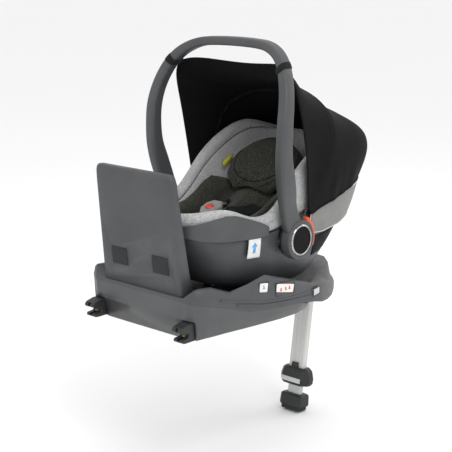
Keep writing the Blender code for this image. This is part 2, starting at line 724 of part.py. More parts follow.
cover_rings = [
    cradle_ring(.1640, -.2480, .3840, lambda y: crease(y) + .0030),
    cradle_ring(.1690, -.2530, .3840, lambda y: lerp(crease(y), rim(y), .45)),
    cradle_ring(.1660, -.2500, .3740, lambda y: rim(y) - .008),
    cradle_ring(.1550, -.2390, .3580, rim),
    *INNER]
under = [between(OUT[4], INNER[3], .80), between(OUT[3], INNER[2], .80), between(OUT[2], INNER[1], .78),
         cradle_ring(.1520, -.2360, .3680, lambda y: crease(y) + .0060)]
n_r = len(PLAN) * 2 - 2
bm = bmesh.new()
rows = [[bm.verts.new(p) for p in r] for r in cover_rings]
lows = [[bm.verts.new(p) for p in r] for r in under]
chain = lows[::-1][:0] + rows
for a, b in zip(rows, rows[1:]):
    for i in range(n_r):
        bm.faces.new([a[i], a[(i + 1) % n_r], b[(i + 1) % n_r], b[i]])
for a, b in zip(lows, lows[1:]):
    for i in range(n_r):
        bm.faces.new([a[i], a[(i + 1) % n_r], b[(i + 1) % n_r], b[i]])
for i in range(n_r):
    j = (i + 1) % n_r
    bm.faces.new([lows[-1][i], lows[-1][j], rows[0][j], rows[0][i]])
for last in (rows[-1], lows[0]):
    c = bm.verts.new(sum((v.co for v in last), Vector()) / n_r)
    for i in range(n_r):
        bm.faces.new([last[i], last[(i + 1) % n_r], c])
bmesh.ops.recalc_face_normals(bm, faces=bm.faces)
cover = make("seat_cover", bm, LIGHT_FABRIC)
subsurf(cover, 1)
bake(cover)

# foam liner between the shell and the cover
foam_top = [between(OUT[2], INNER[1], .60), between(OUT[3], INNER[2], .60), between(OUT[4], INNER[3], .60)]
foam_low = [between(OUT[2], INNER[1], .26), between(OUT[3], INNER[2], .26), between(OUT[4], INNER[3], .26)]
bm = skin(foam_low[::-1] + foam_top)
bmesh.ops.recalc_face_normals(bm, faces=bm.faces)
lo_ring = [v for v in bm.verts][:n_r]
hi_ring = [v for v in bm.verts][-n_r:]
for ring in (lo_ring, hi_ring):
    c = bm.verts.new(sum((v.co for v in ring), Vector()) / n_r)
    for i in range(n_r):
        bm.faces.new([ring[i], ring[(i + 1) % n_r], c])
bmesh.ops.recalc_face_normals(bm, faces=bm.faces)
make("foam_liner", bm, FOAM)


# ---------------------------------------------- laying things on a surface
def tree_of(*obs):
    bm = bmesh.new()
    for ob in obs:
        bm.from_mesh(evaluated(ob))
    return BVHTree.FromBMesh(bm)


def surface(tree, x, y, top=.60):
    """Point and upward normal where a plumb line at (x, y) meets a surface."""
    hit, nrm, _, _ = tree.ray_cast(Vector((x, y, top)), Vector((0, 0, -1)))
    if nrm.z < 0:
        nrm = -nrm
    return hit, nrm


def smoothed(tree, x, y, h=.012):
    p, _ = surface(tree, x, y)
    a, _ = surface(tree, x + h, y)
    b, _ = surface(tree, x - h, y)
    c, _ = surface(tree, x, y + h)
    d, _ = surface(tree, x, y - h)
    return p, (a - b).cross(c - d).normalized()


inside = tree_of(cover)


# insert: a padded bowl lying in the cover, thin in the middle, with thick side bolsters
def insert_solid():
    nx, rows = 16, []
    ys = [-.168 + .0252 * k for k in range(13)]
    for y in ys:
        half_w = along(y, [(-.168, .078), (-.143, .104), (-.10, .124), (-.04, .132), (.05, .133), (.10, .127),
                           (.134, .108)])
        low, high = [], []
        for i in range(nx + 1):
            f = 2 * i / nx - 1
            x = half_w * math.copysign(abs(f) ** .85, f)
            p, nrm = smoothed(inside, x, y, .008)
            edge = abs(x) / half_w
            t = .0095 + .0225 * math.exp(-((edge - .82) / .20) ** 2)
            if y in (ys[0], ys[-1]):
                t = .010
            elif edge > .98:
                t = .012
            low.append(p + nrm * .0050)
            up = (nrm + Vector((0, 0, .7)) * edge ** 2).normalized()
            high.append(p + nrm * .0040 + up * t)
        rows.append(low + high[::-1])
    return rows


insert = loft("insert_cushion", insert_solid(), DARK_FABRIC)
inside2 = tree_of(cover, insert)

# head pillow: round, lying in the head end, its face on a shallow dome
PC_Y, P_R = .166, .102
c0, n0 = surface(inside, 0, PC_Y)
n0 = Vector((0, -.74, .67)).normalized()
pu = Vector((1, 0, 0))
pv = n0.cross(pu)


def pillow_solid():
    rings_low, rings_high = [], []
    for k in range(1, 6):
        r = k / 5
        lo_r, hi_r = [], []
        for a in range(20):
            th = 2 * math.pi * a / 20
            x = P_R * r * math.cos(th)
            y = PC_Y + P_R * .80 * r * math.sin(th)
            base, nrm = smoothed(inside2, x, y)
            high_pt = max((surface(inside2, x + dx, y + dy)[0] - base).dot(n0)
                          for dx, dy in ((0, 0), (.012, 0), (-.012, 0), (0, .014), (0, -.014)))
            base = base + n0 * (high_pt * .95 + .0055)
            lift = (c0 + n0 * (.064 - .010 * r ** 2) - base).dot(n0)
            lift = max(lift, .010 if r < 1 else .006)
            lo_r.append(base)
            hi_r.append(base + n0 * lift * (1 if r < 1 else .75))
        rings_low.append(lo_r)
        rings_high.append(hi_r)
    return rings_low, rings_high


low, high = pillow_solid()
loft("head_pillow", low[:] + high[::-1], DARK_FABRIC)


# ------------------------------------------------- plastic trims on the lobes
def plan_point(u, b, yf, yh):
    """Point of the carrier's plan outline at station u (0 foot, 11 head)."""
    i = min(int(u), len(PLAN) - 2)
    t = u - i
    p = [PLAN[max(i - 1, 0)], PLAN[i], PLAN[i + 1], PLAN[min(i + 2, len(PLAN) - 1)]]
    out = []
    for c in (0, 1):
        a, b_, c_, d_ = (q[c] for q in p)
        out.append(.5 * (2 * b_ + (c_ - a) * t + (2 * a - 5 * b_ + 4 * c_ - d_) * t * t
                         + (3 * b_ - a - 3 * c_ + d_) * t ** 3))
    return Vector((out[0] * b, lerp(yf, yh, (out[1] + 1) / 2), 0))


LOBE = [(-.262, .240), (-.235, .250), (-.200, .260), (-.170, .264), (-.145, .261), (-.115, .251),
        (-.085, .238), (-.062, .226), (-.054, .216)]


def trim(side, s):
    rows = []
    for k in range(15):
        u = lerp(.9, 4.72, k / 14)
        top = None
        col = []
        for j in range(5):
            b = lerp(.1712, .1722, j / 4)
            p = plan_point(u, b, lerp(-.2555, -.2568, j / 4), .360)
            lo = crease(p.y) + .0010
            end = max(0.0, (k - 12) / 2)
            hi = along(p.y, LOBE)
            lo = lo + .006 * end ** 2
            p.z = lerp(lo, hi, j / 4)
            col.append((s * p.x, p.y, p.z))
        rows.append(col)
    bm = skin(rows, closed_ring=False)
    outward(bm, (0, 0, .23))
    ob = make(f"side_trim_{side}", bm, PLASTIC)
    solidify(ob, .0028, 1.0)
    return bake(ob)


trim("left", -1)
trim("right", 1)


# ------------------------------------------------- fabric skirt at the head end
def skirt():
    rows = []
    n = 22
    for k in range(n + 1):
        t = k / n
        u = lerp(6.2, 11, 1 - abs(2 * t - 1))
        s = 1 if t <= .5 else -1
        col = []
        for j in range(4):
            f = j / 3
            a = plan_point(u, .1672, -.2180, .3460)      # low edge
            b = plan_point(u, .1705, -.2520, .3925)      # high edge
            p = a.lerp(b, f)
            zlo = along(a.y, [(.06, .182), (.15, .176), (.22, .182), (.27, .190), (.35, .194)])
            zhi = crease(b.y) + .004
            p.z = lerp(zlo, zhi, f)
            nrm = Vector((p.x * 1.0, max(p.y - .12, 0) * 1.3, 0)).normalized()
            p = p + nrm * .0040
            col.append((s * p.x, p.y, p.z))
        rows.append(col)
    bm = skin(rows, closed_ring=False)
    outward(bm, (0, 0, .23))
    ob = make("head_skirt", bm, SKIRT_FABRIC)
    solidify(ob, .0018, 1.0)
    return bake(ob)


skirt()

# ------------------------------------------------- handle pivots on the shell
for side, s in (("left", -1), ("right", 1)):
    boss = rod(f"handle_pivot_{side}", (s * .1655, HUB_Y, HUB_Z), (s * (HUB_IN - .0005), HUB_Y, HUB_Z),
               .0375, PLASTIC, n=36)
    boolean(boss, rod(f"pivot_stub_{side}", (s * .1700, HUB_Y, HUB_Z), (s * .1905, HUB_Y, HUB_Z), .0100, n=32), "UNION")
    bake(boss)
    seat = rod(f"pivot_seat_{side}", (s * .1560, HUB_Y, HUB_Z), (s * .20, HUB_Y, HUB_Z), .0380, n=36)
    boolean(shell, seat)
bake(shell)

# latch bars under the belly, on two cast-in lugs each
for k, y in enumerate(BAR_Y):
    zb = belly(y) - .0065
    bar = rod(f"latch_bar_{('front', 'rear')[k]}", (-.0300, y, zb), (.0300, y, zb), BAR_R, STEEL, n=14)
    for s in (-1, 1):
        boolean(bar, box(f"lug_{k}_{s}", (s * .0260 - .003, y - .0045, zb - .0045),
                         (s * .0260 + .003, y + .0045, belly(y) + .0075)), "UNION")
        boolean(shell, box(f"lug_seat_{k}_{s}", (s * .0260 - .0033, y - .0048, zb - .0045),
                           (s * .0260 + .0033, y + .0048, belly(y) + .0085)))
    bake(bar)
bake(shell)

# ------------------------------------------------- harness
inside3 = tree_of(cover, insert, bpy.data.objects["head_pillow"])


def strap(name, path, width, thick, lift, tree, look, taper=None):
    """Flat webbing laid along a path of (x, y) points on a surface."""
    rows = []
    pts = [Vector((x, y, 0)) for x, y in path]
    for i, p in enumerate(pts):
        t = (pts[min(i + 1, len(pts) - 1)] - pts[max(i - 1, 0)]).normalized()
        side = Vector((-t.y, t.x, 0))
        w = width * (taper[i] if taper else 1)
        c, nrm = smoothed(tree, p.x, p.y)
        cross = (side - nrm * side.dot(nrm)).normalized()
        tops = []
        for f in (-1, -.5, .5, 1):
            q, _ = surface(tree, *(c + cross * (w / 2 * f))[:2])
            tops.append((q - c - cross * (w / 2 * f)).dot(nrm))
        up = max(max(tops), 0) + lift
        ring = []
        for f, h in ((-1, 0), (1, 0), (1, 1), (-1, 1)):
            ring.append(c + cross * (w / 2 * f) + nrm * (up + thick * h))
        rows.append(ring)
    return loft(name, rows, look)


for side, s in (("left", -1), ("right", 1)):
    path = [(s * lerp(.050, .020, k / 7), lerp(.070, -.016, k / 7)) for k in range(8)]
    strap(f"shoulder_pad_{side}", path, .034, .0085, .0050, inside3, BLACK_FABRIC)
    strap(f"harness_strap_{side}", [(s * lerp(.0185, .0160, k / 2), lerp(-.0205, -.027, k / 2)) for k in range(3)],
          .022, .0016, .0060, inside3, WEBBING)

BUCKLE = Vector((0, -.0480, 0))
bp, bn = smoothed(inside3, 0, BUCKLE.y)
bn = Vector((0, -.30, .954)).normalized()
bx = Vector((1, 0, 0))
by = bn.cross(bx)
bp = bp + bn * .0095


def buckle_pt(x, y, h):
    return bp + bx * x + by * y + bn * h


def buckle_loft(name, rows, look, where=PARTS):
    return loft(name, [[buckle_pt(x, y, h) for x, y in sec] for h, sec in rows], look, 30, where)


def shield(w, l, k=.30):
    return [(-w * k, -l), (w * k, -l), (w * .9, -l * .35), (w, l * .45), (w * .55, l), (-w * .55, l),
            (-w, l * .45), (-w * .9, -l * .35)]


buckle = buckle_loft("buckle_body", [(.000, shield(.0215, .0290)), (.0125, shield(.0235, .0310)),
                                     (.0160, shield(.0215, .0290))], GREY)
boolean(buckle, rod("button_well", buckle_pt(0, -.002, .0095), buckle_pt(0, -.002, .03), .0110, n=24))
for s in (-1, 1):
    cut = buckle_loft(f"tongue_slot_{s}", [(.0045, [(s * .0020, .012), (s * .0150, .012), (s * .0150, .045), (s * .0020, .045)]),
                                           (.0085, [(s * .0020, .012), (s * .0150, .012), (s * .0150, .045), (s * .0020, .045)])],
                      None, CUTTERS)
    boolean(buckle, cut)
bake(buckle)
rod("buckle_button", buckle_pt(0, -.002, .0125), buckle_pt(0, -.002, .0182), .0105, RED, n=24)
for side, s in (("left", -1), ("right", 1)):
    sec = [(s * .0024, .0130), (s * .0146, .0130), (s * .0146, .0325), (s * .0185, .0360), (s * .0185, .0400),
           (s * .0020, .0400), (s * .0024, .0325)]
    buckle_loft(f"buckle_tongue_{side}", [(.0050, sec), (.0080, sec)], STEEL)
strap("crotch_pad", [(0, lerp(-.1330, -.0955, k / 4)) for k in range(5)], .040, .0075, .0050, inside3, BLACK_FABRIC)

# front adjuster: housing, push button and pull strap at the seat's front edge
ADJ, ADJ_N = smoothed(inside3, 0, -.188)
ADJ_N = ADJ_N.normalized()


def adj_box(name, w, l, h0, h1, look=None, r=0, where=PARTS):
    ob = box(name, (-w / 2, -l / 2, h0), (w / 2, l / 2, h1), look) if look else \
        box(name, (-w / 2, -l / 2, h0), (w / 2, l / 2, h1))
    m = Matrix((Vector((1, 0, 0)), ADJ_N.cross(Vector((1, 0, 0))), ADJ_N)).transposed().to_4x4()
    m.translation = ADJ
    ob.data.transform(m @ Matrix.Translation(ob.location))
    ob.location = (0, 0, 0)
    if r:
        bevel(ob, r, 1)
    return ob


adj = adj_box("adjuster_housing", .034, .026, .0042, .0095, DARK)
boolean(adj, adj_box("adjuster_well", .0206, .0146, .0068, .0200))
bake(adj)
adj_box("adjuster_button", .0200, .0140, .0095, .0120, GREY)
strap("adjuster_strap", [(0, lerp(-.2040, -.2210, k / 5)) for k in range(6)], .022, .0016, .0025, inside3, WEBBING)

# ================================================================ handle
ARCH = [  # x, y, z of the section's middle, width across, depth fore and aft
    (.1885, .0300, .1900, .0205, .060), (.1885, .0150, .2150, .0205, .055), (.1890, .0050, .2400, .0210, .0515),
    (.1915, -.0060, .2700, .0225, .0485), (.1960, -.0145, .3000, .0250, .0500), (.2000, -.0240, .3350, .0265, .0480),
    (.2030, -.0330, .3750, .0280, .0400), (.2045, -.0345, .4200, .0280, .0360), (.2040, -.0315, .4600, .0280, .0350),
    (.2000, -.0240, .4950, .0275, .0340), (.1915, -.0140, .5280, .0265, .0335), (.1770, -.0020, .5600, .0260, .0330),
    (.1560, .0110, .5865, .0245, .0320), (.1280, .0230, .6045, .0225, .0320), (.0960, .0310, .6145, .0210, .0320),
    (.0620, .0355, .6175, .0205, .0320), (.0300, .0375, .6185, .0205, .0320), (0, .0380, .6188, .0205, .0320)]


def arch_rings(cols, k=3):
    """Rounded sections along the handle, square to its run in the XZ plane."""
    path = cols + [(-c[0], *c[1:]) for c in reversed(cols[:-1])]
    rings = []
    for i, (x, y, z, w, d) in enumerate(path):
        a = path[max(i - 1, 0)]
        b = path[min(i + 1, len(path) - 1)]
        t = Vector((b[0] - a[0], 0, b[2] - a[2])).normalized()
        n = Vector((t.z, 0, -t.x))                 # outward, in the XZ plane
        r = min(w, d) * .30
        rings.append([Vector((x, y, z)) + n * px + Vector((0, 1, 0)) * py
                      for px, py, _ in rounded_rect(w, d, r, 0, 0, 0, k)])
    return rings


arch = loft("handle_arch", arch_rings(ARCH), PLASTIC)
for side, s in (("left", -1), ("right", 1)):
    hub = rod(f"hub_{side}", (s * HUB_IN, HUB_Y, HUB_Z), (s * HUB_OUT, HUB_Y, HUB_Z), HUB_R, n=40)
    boolean(arch, hub, "UNION")
for side, s in (("left", -1), ("right", 1)):
    boolean(arch, rod(f"hub_bore_{side}", (s * .17, HUB_Y, HUB_Z), (s * .1915, HUB_Y, HUB_Z), .01025, n=32))
    boolean(arch, rod(f"hub_recess_{side}", (s * .1975, HUB_Y, HUB_Z), (s * .22, HUB_Y, HUB_Z), .0363, n=36))
    # room for the crescent button behind the hub
bake(arch)
for side, s in (("left", -1), ("right", 1)):
    ring = rod(f"hub_ring_{side}", (s * .1978, HUB_Y, HUB_Z), (s * .2022, HUB_Y, HUB_Z), .0360,
               ((.75, .76, .77), .18, 1.0), n=32)
    boolean(ring, rod(f"ring_bore_{side}", (s * .19, HUB_Y, HUB_Z), (s * .22, HUB_Y, HUB_Z), .0322, n=32))
    bake(ring)
    rod(f"hub_badge_{side}", (s * .1978, HUB_Y, HUB_Z), (s * .2010, HUB_Y, HUB_Z), .0318, BLACK, n=32)
    pts = []
    for a in range(-24, 66, 9):
        pts.append((HUB_Y + .0575 * math.cos(math.radians(a)), HUB_Z + .0575 * math.sin(math.radians(a))))
    for a in range(57, -25, -9):
        r = .0472
        pts.append((HUB_Y + r * math.cos(math.radians(a)), HUB_Z + r * math.sin(math.radians(a))))
    outline(f"handle_button_{side}", pts, s * .1815, s * .1945, ORANGE, r=.0010)

# ================================================================ canopy
# ribs from the front edge to the head end; each from the lower edge up to the
# crown: (x, y, z)
RIBS = [
    [(.1800, .0860, .2170), (.1870, .0760, .3050), (.1895, .0620, .3900), (.1890, .0430, .4750),
     (.1840, .0100, .5740), (.1080, .0520, .5720), (0, .0680, .5650)],
    [(.1800, .1150, .2370), (.1880, .1130, .3120), (.1910, .1080, .3820), (.1890, .1000, .4500),
     (.1700, .0880, .5120), (.0980, .1040, .5380), (0, .1100, .5400)],
    [(.1785, .1700, .2450), (.1870, .1750, .3100), (.1890, .1780, .3680), (.1830, .1780, .4250),
     (.1580, .1770, .4690), (.0930, .1790, .5080), (0, .1810, .5200)],
    [(.1720, .2300, .2560), (.1800, .2400, .3120), (.1810, .2450, .3580), (.1730, .2470, .4000),
     (.1450, .2480, .4320), (.0840, .2510, .4640), (0, .2530, .4780)],
    [(.1600, .2890, .2710), (.1680, .3040, .3160), (.1680, .3140, .3560), (.1570, .3180, .3920),
     (.1260, .3180, .4160), (.0690, .3200, .4360), (0, .3220, .4460)],
    [(.1310, .3540, .2745), (.1410, .3730, .3140), (.1420, .3840, .3480), (.1300, .3850, .3800),
     (.0990, .3820, .4000), (.0520, .3810, .4140), (0, .3820, .4190)],
    [(.0700, .3900, .2750), (.0770, .4100, .3140), (.0770, .4180, .3440), (.0700, .4170, .3680),
     (.0530, .4140, .3840), (.0270, .4120, .3940), (0, .4110, .3980)]]
BACK = [(0, .4010, .2755), (0, .4200, .3140), (0, .4270, .3430), (0, .4250, .3640), (0, .4200, .3800)]


def canopy_bm(ribs=RIBS, back=BACK):
    """The hood as one open sheet: right half, left half and the crown seam."""
    bm = bmesh.new()
    right = [[bm.verts.new(p) for p in r] for r in ribs]
    left = [[bm.verts.new((-p[0], p[1], p[2])) for p in r[:-1]] + [right[i][-1]] for i, r in enumerate(ribs)]
    end = [bm.verts.new(p) for p in back]
    for g in (right, left):
        for a, b in zip(g, g[1:]):
            for i in range(len(a) - 1):
                bm.faces.new([a[i], a[i + 1], b[i + 1], b[i]])
        a = g[-1]
        for i in range(len(end) - 1):
            bm.faces.new([a[i], a[i + 1], end[i + 1], end[i]])
        bm.faces.new([a[-3], a[-2], end[-1]])
        bm.faces.new([a[-2], a[-1], end[-1]])
    outward(bm, (0, .20, .30))
    return bm


canopy = make("canopy_fabric", canopy_bm(), BLACK_FABRIC)
subsurf(canopy, 1)
solidify(canopy, .0018)
bake(canopy)

# hoop inside the hood, plugged on the handle pivots
BOW = [(.1732, .0640, .2096), (.1735, .0860, .2370), (.1750, .1100, .2700), (.1785, .1350, .3050), (.1815, .1560, .3450),
       (.1800, .1680, .3830), (.1700, .1730, .4200), (.1450, .1750, .4500), (.1060, .1760, .4730),
       (.0560, .1765, .4890), (0, .1770, .4940)]


def hoop():
    pts = BOW + [(-x, y, z) for x, y, z in reversed(BOW[:-1])]
    cu = bpy.data.curves.new("hoop", "CURVE")
    cu.dimensions = "3D"
    cu.bevel_depth = .0024
    cu.bevel_resolution = 0
    cu.use_fill_caps = True
    sp = cu.splines.new("POLY")
    sp.points.add(len(pts) - 1)
    for p, q in zip(sp.points, pts):
        p.co = (*q, 1)
    tmp = bpy.data.objects.new("hoop_curve", cu)
    PARTS.objects.link(tmp)
    bpy.context.view_layer.update()
    me = bpy.data.meshes.new_from_object(tmp.evaluated_get(bpy.context.evaluated_depsgraph_get()))
    bpy.data.objects.remove(tmp, do_unlink=True)
    bm = bmesh.new()
    bm.from_mesh(me)
    bmesh.ops.remove_doubles(bm, verts=bm.verts, dist=1e-6)
    bmesh.ops.recalc_face_normals(bm, faces=bm.faces)
    return make("canopy_bow", bm, DARK)


bow = hoop()
for s in (-1, 1):
    eye = rod(f"bow_eye_{s}", (s * .1712, HUB_Y, HUB_Z), (s * .1752, HUB_Y, HUB_Z), .0440, n=24)
    boolean(eye, rod(f"bow_eye_bore_{s}", (s * .16, HUB_Y, HUB_Z), (s * .18, HUB_Y, HUB_Z), .0384, n=24))
    bake(eye)
    boolean(bow, eye, "UNION")
bake(bow)

# elastic loops that hang the hood's front corners on the handle
def arm_band(name, s, t0, t1, off, thick, look):
    """A flat band round the arm, between two places on its run."""
    loops = []
    for t, o in ((t0, off), (t1, off), (t1, off + thick), (t0, off + thick)):
        i = int(t)
        f = t - i
        sec = []
        for k in (i, i + 1):
            c = ARCH[k]
            q = Vector((ARCH[k + 1][0] - ARCH[k - 1][0], 0, ARCH[k + 1][2] - ARCH[k - 1][2])).normalized()
            n = Vector((q.z, 0, -q.x))
            r = min(c[3], c[4]) * .30 + o
            sec.append([Vector(c[:3]) + n * px + Vector((0, 1, 0)) * py
                        for px, py, _ in rounded_rect(c[3] + 2 * o, c[4] + 2 * o, r, 0, 0, 0, 3)])
        loops.append([a.lerp(b, f) for a, b in zip(*sec)])
    bm = bmesh.new()
    vs = [[bm.verts.new((s * p.x, p.y, p.z)) for p in ring] for ring in loops]
    n = len(vs[0])
    for i in range(4):
        a, b = vs[i], vs[(i + 1) % 4]
        for j in range(n):
            bm.faces.new([a[j], a[(j + 1) % n], b[(j + 1) % n], b[j]])
    bmesh.ops.recalc_face_normals(bm, faces=bm.faces)
    return make(name, bm, look)


for side, s in (("left", -1), ("right", 1)):
    arm_band(f"canopy_loop_{side}", s, 11.15, 11.62, .0012, .0016, BLACK_FABRIC)

# ------------------------------------------- origins on the joint axes
ORIGINS = {
    (0, LP.y, LP.z): ("leg_upper_tube", "leg_collar"),
    tuple(leg_pt(0, 0, .3030)): ("leg_adjust_button",),
    tuple(leg_pt(0, 0, .3480)): ("leg_lower_tube", "leg_foot", "foot_sole"),
    (0, HUB_Y, HUB_Z): ("handle_arch", "hub_ring_left", "hub_ring_right", "hub_badge_left", "hub_badge_right",
                        "handle_button_left", "handle_button_right", "canopy_loop_left", "canopy_loop_right"),
    (-ISOFIX_X, -.2760, .0300): ("isofix_claw_left", "isofix_connector_left", "isofix_arm_left"),
    (ISOFIX_X, -.2760, .0300): ("isofix_claw_right", "isofix_connector_right", "isofix_arm_right"),
    tuple(buckle_pt(0, -.002, .0125)): ("buckle_button",),
    tuple(ADJ): ("adjuster_button",),
}
for place, names in ORIGINS.items():
    move = Matrix.Translation(place)
    for name in names:
        ob = bpy.data.objects[name]
        ob.data.transform(move.inverted() @ ob.matrix_world)
        ob.matrix_world = move
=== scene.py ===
import math

import bmesh
import bpy
import numpy as np
from mathutils import Matrix, Vector
from mathutils.bvhtree import BVHTree


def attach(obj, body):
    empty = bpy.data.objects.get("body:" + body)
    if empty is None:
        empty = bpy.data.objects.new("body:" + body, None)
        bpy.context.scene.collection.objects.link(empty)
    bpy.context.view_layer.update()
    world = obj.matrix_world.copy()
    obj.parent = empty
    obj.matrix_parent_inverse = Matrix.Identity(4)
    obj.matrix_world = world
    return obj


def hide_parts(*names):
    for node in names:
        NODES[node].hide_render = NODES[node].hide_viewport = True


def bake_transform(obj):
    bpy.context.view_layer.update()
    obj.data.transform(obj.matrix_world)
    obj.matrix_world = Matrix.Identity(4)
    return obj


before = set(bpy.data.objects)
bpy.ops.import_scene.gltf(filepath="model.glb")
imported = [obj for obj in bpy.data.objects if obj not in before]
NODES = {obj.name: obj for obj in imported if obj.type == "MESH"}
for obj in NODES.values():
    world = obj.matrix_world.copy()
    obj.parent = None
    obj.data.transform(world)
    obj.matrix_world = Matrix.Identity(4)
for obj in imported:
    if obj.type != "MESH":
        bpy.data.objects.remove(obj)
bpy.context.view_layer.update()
scene = bpy.context.scene


# ------------------------------------------------------------------ materials
def new_mat(name, color, rough=.5, metal=0.0, spec=.5, sheen=0.0, sheen_rough=.4, coat=0.0):
    m = bpy.data.materials.new(name)
    m.use_nodes = True
    nt = m.node_tree
    b = nt.nodes["Principled BSDF"]
    b.inputs["Base Color"].default_value = (*color, 1)
    b.inputs["Roughness"].default_value = rough
    b.inputs["Metallic"].default_value = metal
    b.inputs["Specular IOR Level"].default_value = spec
    b.inputs["Sheen Weight"].default_value = sheen
    b.inputs["Sheen Roughness"].default_value = sheen_rough
    b.inputs["Coat Weight"].default_value = coat
    m.diffuse_color = (*color, 1)
    return m, nt, b


def coords(nt, scale=(1, 1, 1), rot=(0, 0, 0)):
    tc = nt.nodes.new("ShaderNodeTexCoord")
    mp = nt.nodes.new("ShaderNodeMapping")
    mp.inputs["Scale"].default_value = scale
    mp.inputs["Rotation"].default_value = rot
    nt.links.new(tc.outputs["Object"], mp.inputs["Vector"])
    return mp.outputs["Vector"]


def noise(nt, vec, scale, detail=2.0, rough=.5):
    n = nt.nodes.new("ShaderNodeTexNoise")
    n.inputs["Scale"].default_value = scale
    n.inputs["Detail"].default_value = detail
    n.inputs["Roughness"].default_value = rough
    nt.links.new(vec, n.inputs["Vector"])
    return n.outputs["Fac"]


def wave(nt, vec, scale, direction="X", distort=0.0):
    n = nt.nodes.new("ShaderNodeTexWave")
    n.bands_direction = direction
    n.inputs["Scale"].default_value = scale
    n.inputs["Distortion"].default_value = distort
    n.inputs["Detail"].default_value = 0
    nt.links.new(vec, n.inputs["Vector"])
    return n.outputs["Fac"]


def ramp(nt, fac, stops):
    r = nt.nodes.new("ShaderNodeValToRGB")
    e = r.color_ramp.elements
    while len(e) < len(stops):
        e.new(.5)
    for k, (p, c) in enumerate(stops):
        e[k].position = p
        e[k].color = (*c, 1) if hasattr(c, "__len__") else (c, c, c, 1)
    nt.links.new(fac, r.inputs["Fac"])
    return r.outputs["Color"]


def mixc(nt, fac, a, b, mode="MIX"):
    m = nt.nodes.new("ShaderNodeMix")
    m.data_type = "RGBA"
    m.blend_type = mode
    for sock, v in ((m.inputs[0], fac), (m.inputs[6], a), (m.inputs[7], b)):
        if hasattr(v, "links"):
            nt.links.new(v, sock)
        elif hasattr(v, "__len__"):
            sock.default_value = (*v, 1)
        else:
            sock.default_value = v
    return m.outputs[2]


def maths(nt, op, a, b):
    m = nt.nodes.new("ShaderNodeMath")
    m.operation = op
    for sock, v in ((m.inputs[0], a), (m.inputs[1], b)):
        if hasattr(v, "links"):
            nt.links.new(v, sock)
        else:
            sock.default_value = v
    return m.outputs[0]


def bump(nt, b, height, strength, dist):
    n = nt.nodes.new("ShaderNodeBump")
    n.inputs["Strength"].default_value = strength
    n.inputs["Distance"].default_value = dist
    nt.links.new(height, n.inputs["Height"])
    nt.links.new(n.outputs["Normal"], b.inputs["Normal"])


def plastic(name, color, rough=.48, grain=.35, spec=.5, worn=.10):
    """Moulded plastic: spark-eroded grain, faint flow shading, uneven gloss."""
    m, nt, b = new_mat(name, color, rough, spec=spec)
    v = coords(nt)
    fine = noise(nt, v, 1500, 2, .6)
    broad = noise(nt, v, 9, 3, .55)
    light = tuple(min(1, c * (1 + worn) + .004) for c in color)
    dark = tuple(c * (1 - worn) for c in color)
    nt.links.new(ramp(nt, broad, [(.32, dark), (.68, light)]), b.inputs["Base Color"])
    nt.links.new(ramp(nt, noise(nt, v, 60, 4, .6), [(.30, rough - .05), (.70, rough + .06)]), b.inputs["Roughness"])
    bump(nt, b, fine, grain, .00012)
    return m


def melange(name, base, fleck, deep, pitch=.0011, fuzz=.35, rough=.95, bump_d=.0004, amount=.5):
    """Melange knit: two-tone yarn flecks over a fine knitted relief."""
    m, nt, b = new_mat(name, base, rough, spec=.25, sheen=fuzz, sheen_rough=.55)
    v = coords(nt, rot=(.35, .2, .1))
    k = 1 / pitch
    yarn = noise(nt, coords(nt, (1, 2.2, 2.2), (.5, .3, .2)), k * .75, 3, .7)
    tone = noise(nt, v, 22, 3, .6)
    flecks = ramp(nt, yarn, [(.34, deep), (.50, base), (.66, fleck)])
    shade = ramp(nt, tone, [(.3, .90), (.7, 1.06)])
    nt.links.new(mixc(nt, 1.0, flecks, shade, "MULTIPLY"), b.inputs["Base Color"])
    wx = wave(nt, v, k / 6.2832 * .5, "X", 1.2)
    wy = wave(nt, v, k / 6.2832 * .5, "Y", 1.2)
    wz = wave(nt, v, k / 6.2832 * .5, "Z", 1.2)
    h = maths(nt, "ADD", maths(nt, "ADD", wx, wy), maths(nt, "ADD", wz, maths(nt, "MULTIPLY", yarn, 2.0)))
    bump(nt, b, h, amount, bump_d)
    return m


def woven(name, base, light, pitch=.0012, rough=.9, strength=.4, sheen=.2):
    """Plain close weave, or webbing: crossed ribs with a little fluff."""
    m, nt, b = new_mat(name, base, rough, spec=.3, sheen=sheen)
    v = coords(nt)
    k = 1 / pitch / 6.2832
    ribs = maths(nt, "ADD", wave(nt, v, k, "X"), maths(nt, "ADD", wave(nt, v, k, "Y"), wave(nt, v, k, "Z")))
    spots = noise(nt, v, 40, 4, .6)
    nt.links.new(ramp(nt, spots, [(.3, base), (.72, light)]), b.inputs["Base Color"])
    bump(nt, b, ribs, strength, .0002)
    return m


def metal(name, color, rough=.3, along="Z", brush=.12):
    m, nt, b = new_mat(name, color, rough, metal=1.0)
    s = {"X": (2, 400, 400), "Y": (400, 2, 400), "Z": (400, 400, 2)}[along]
    lines = noise(nt, coords(nt, s), 3, 3, .6)
    nt.links.new(ramp(nt, lines, [(.3, rough - .06), (.7, rough + .10)]), b.inputs["Roughness"])
    nt.links.new(ramp(nt, noise(nt, coords(nt), 14, 2), [(.3, tuple(c * .93 for c in color)), (.7, color)]),
                 b.inputs["Base Color"])
    bump(nt, b, lines, brush, .00008)
    return m


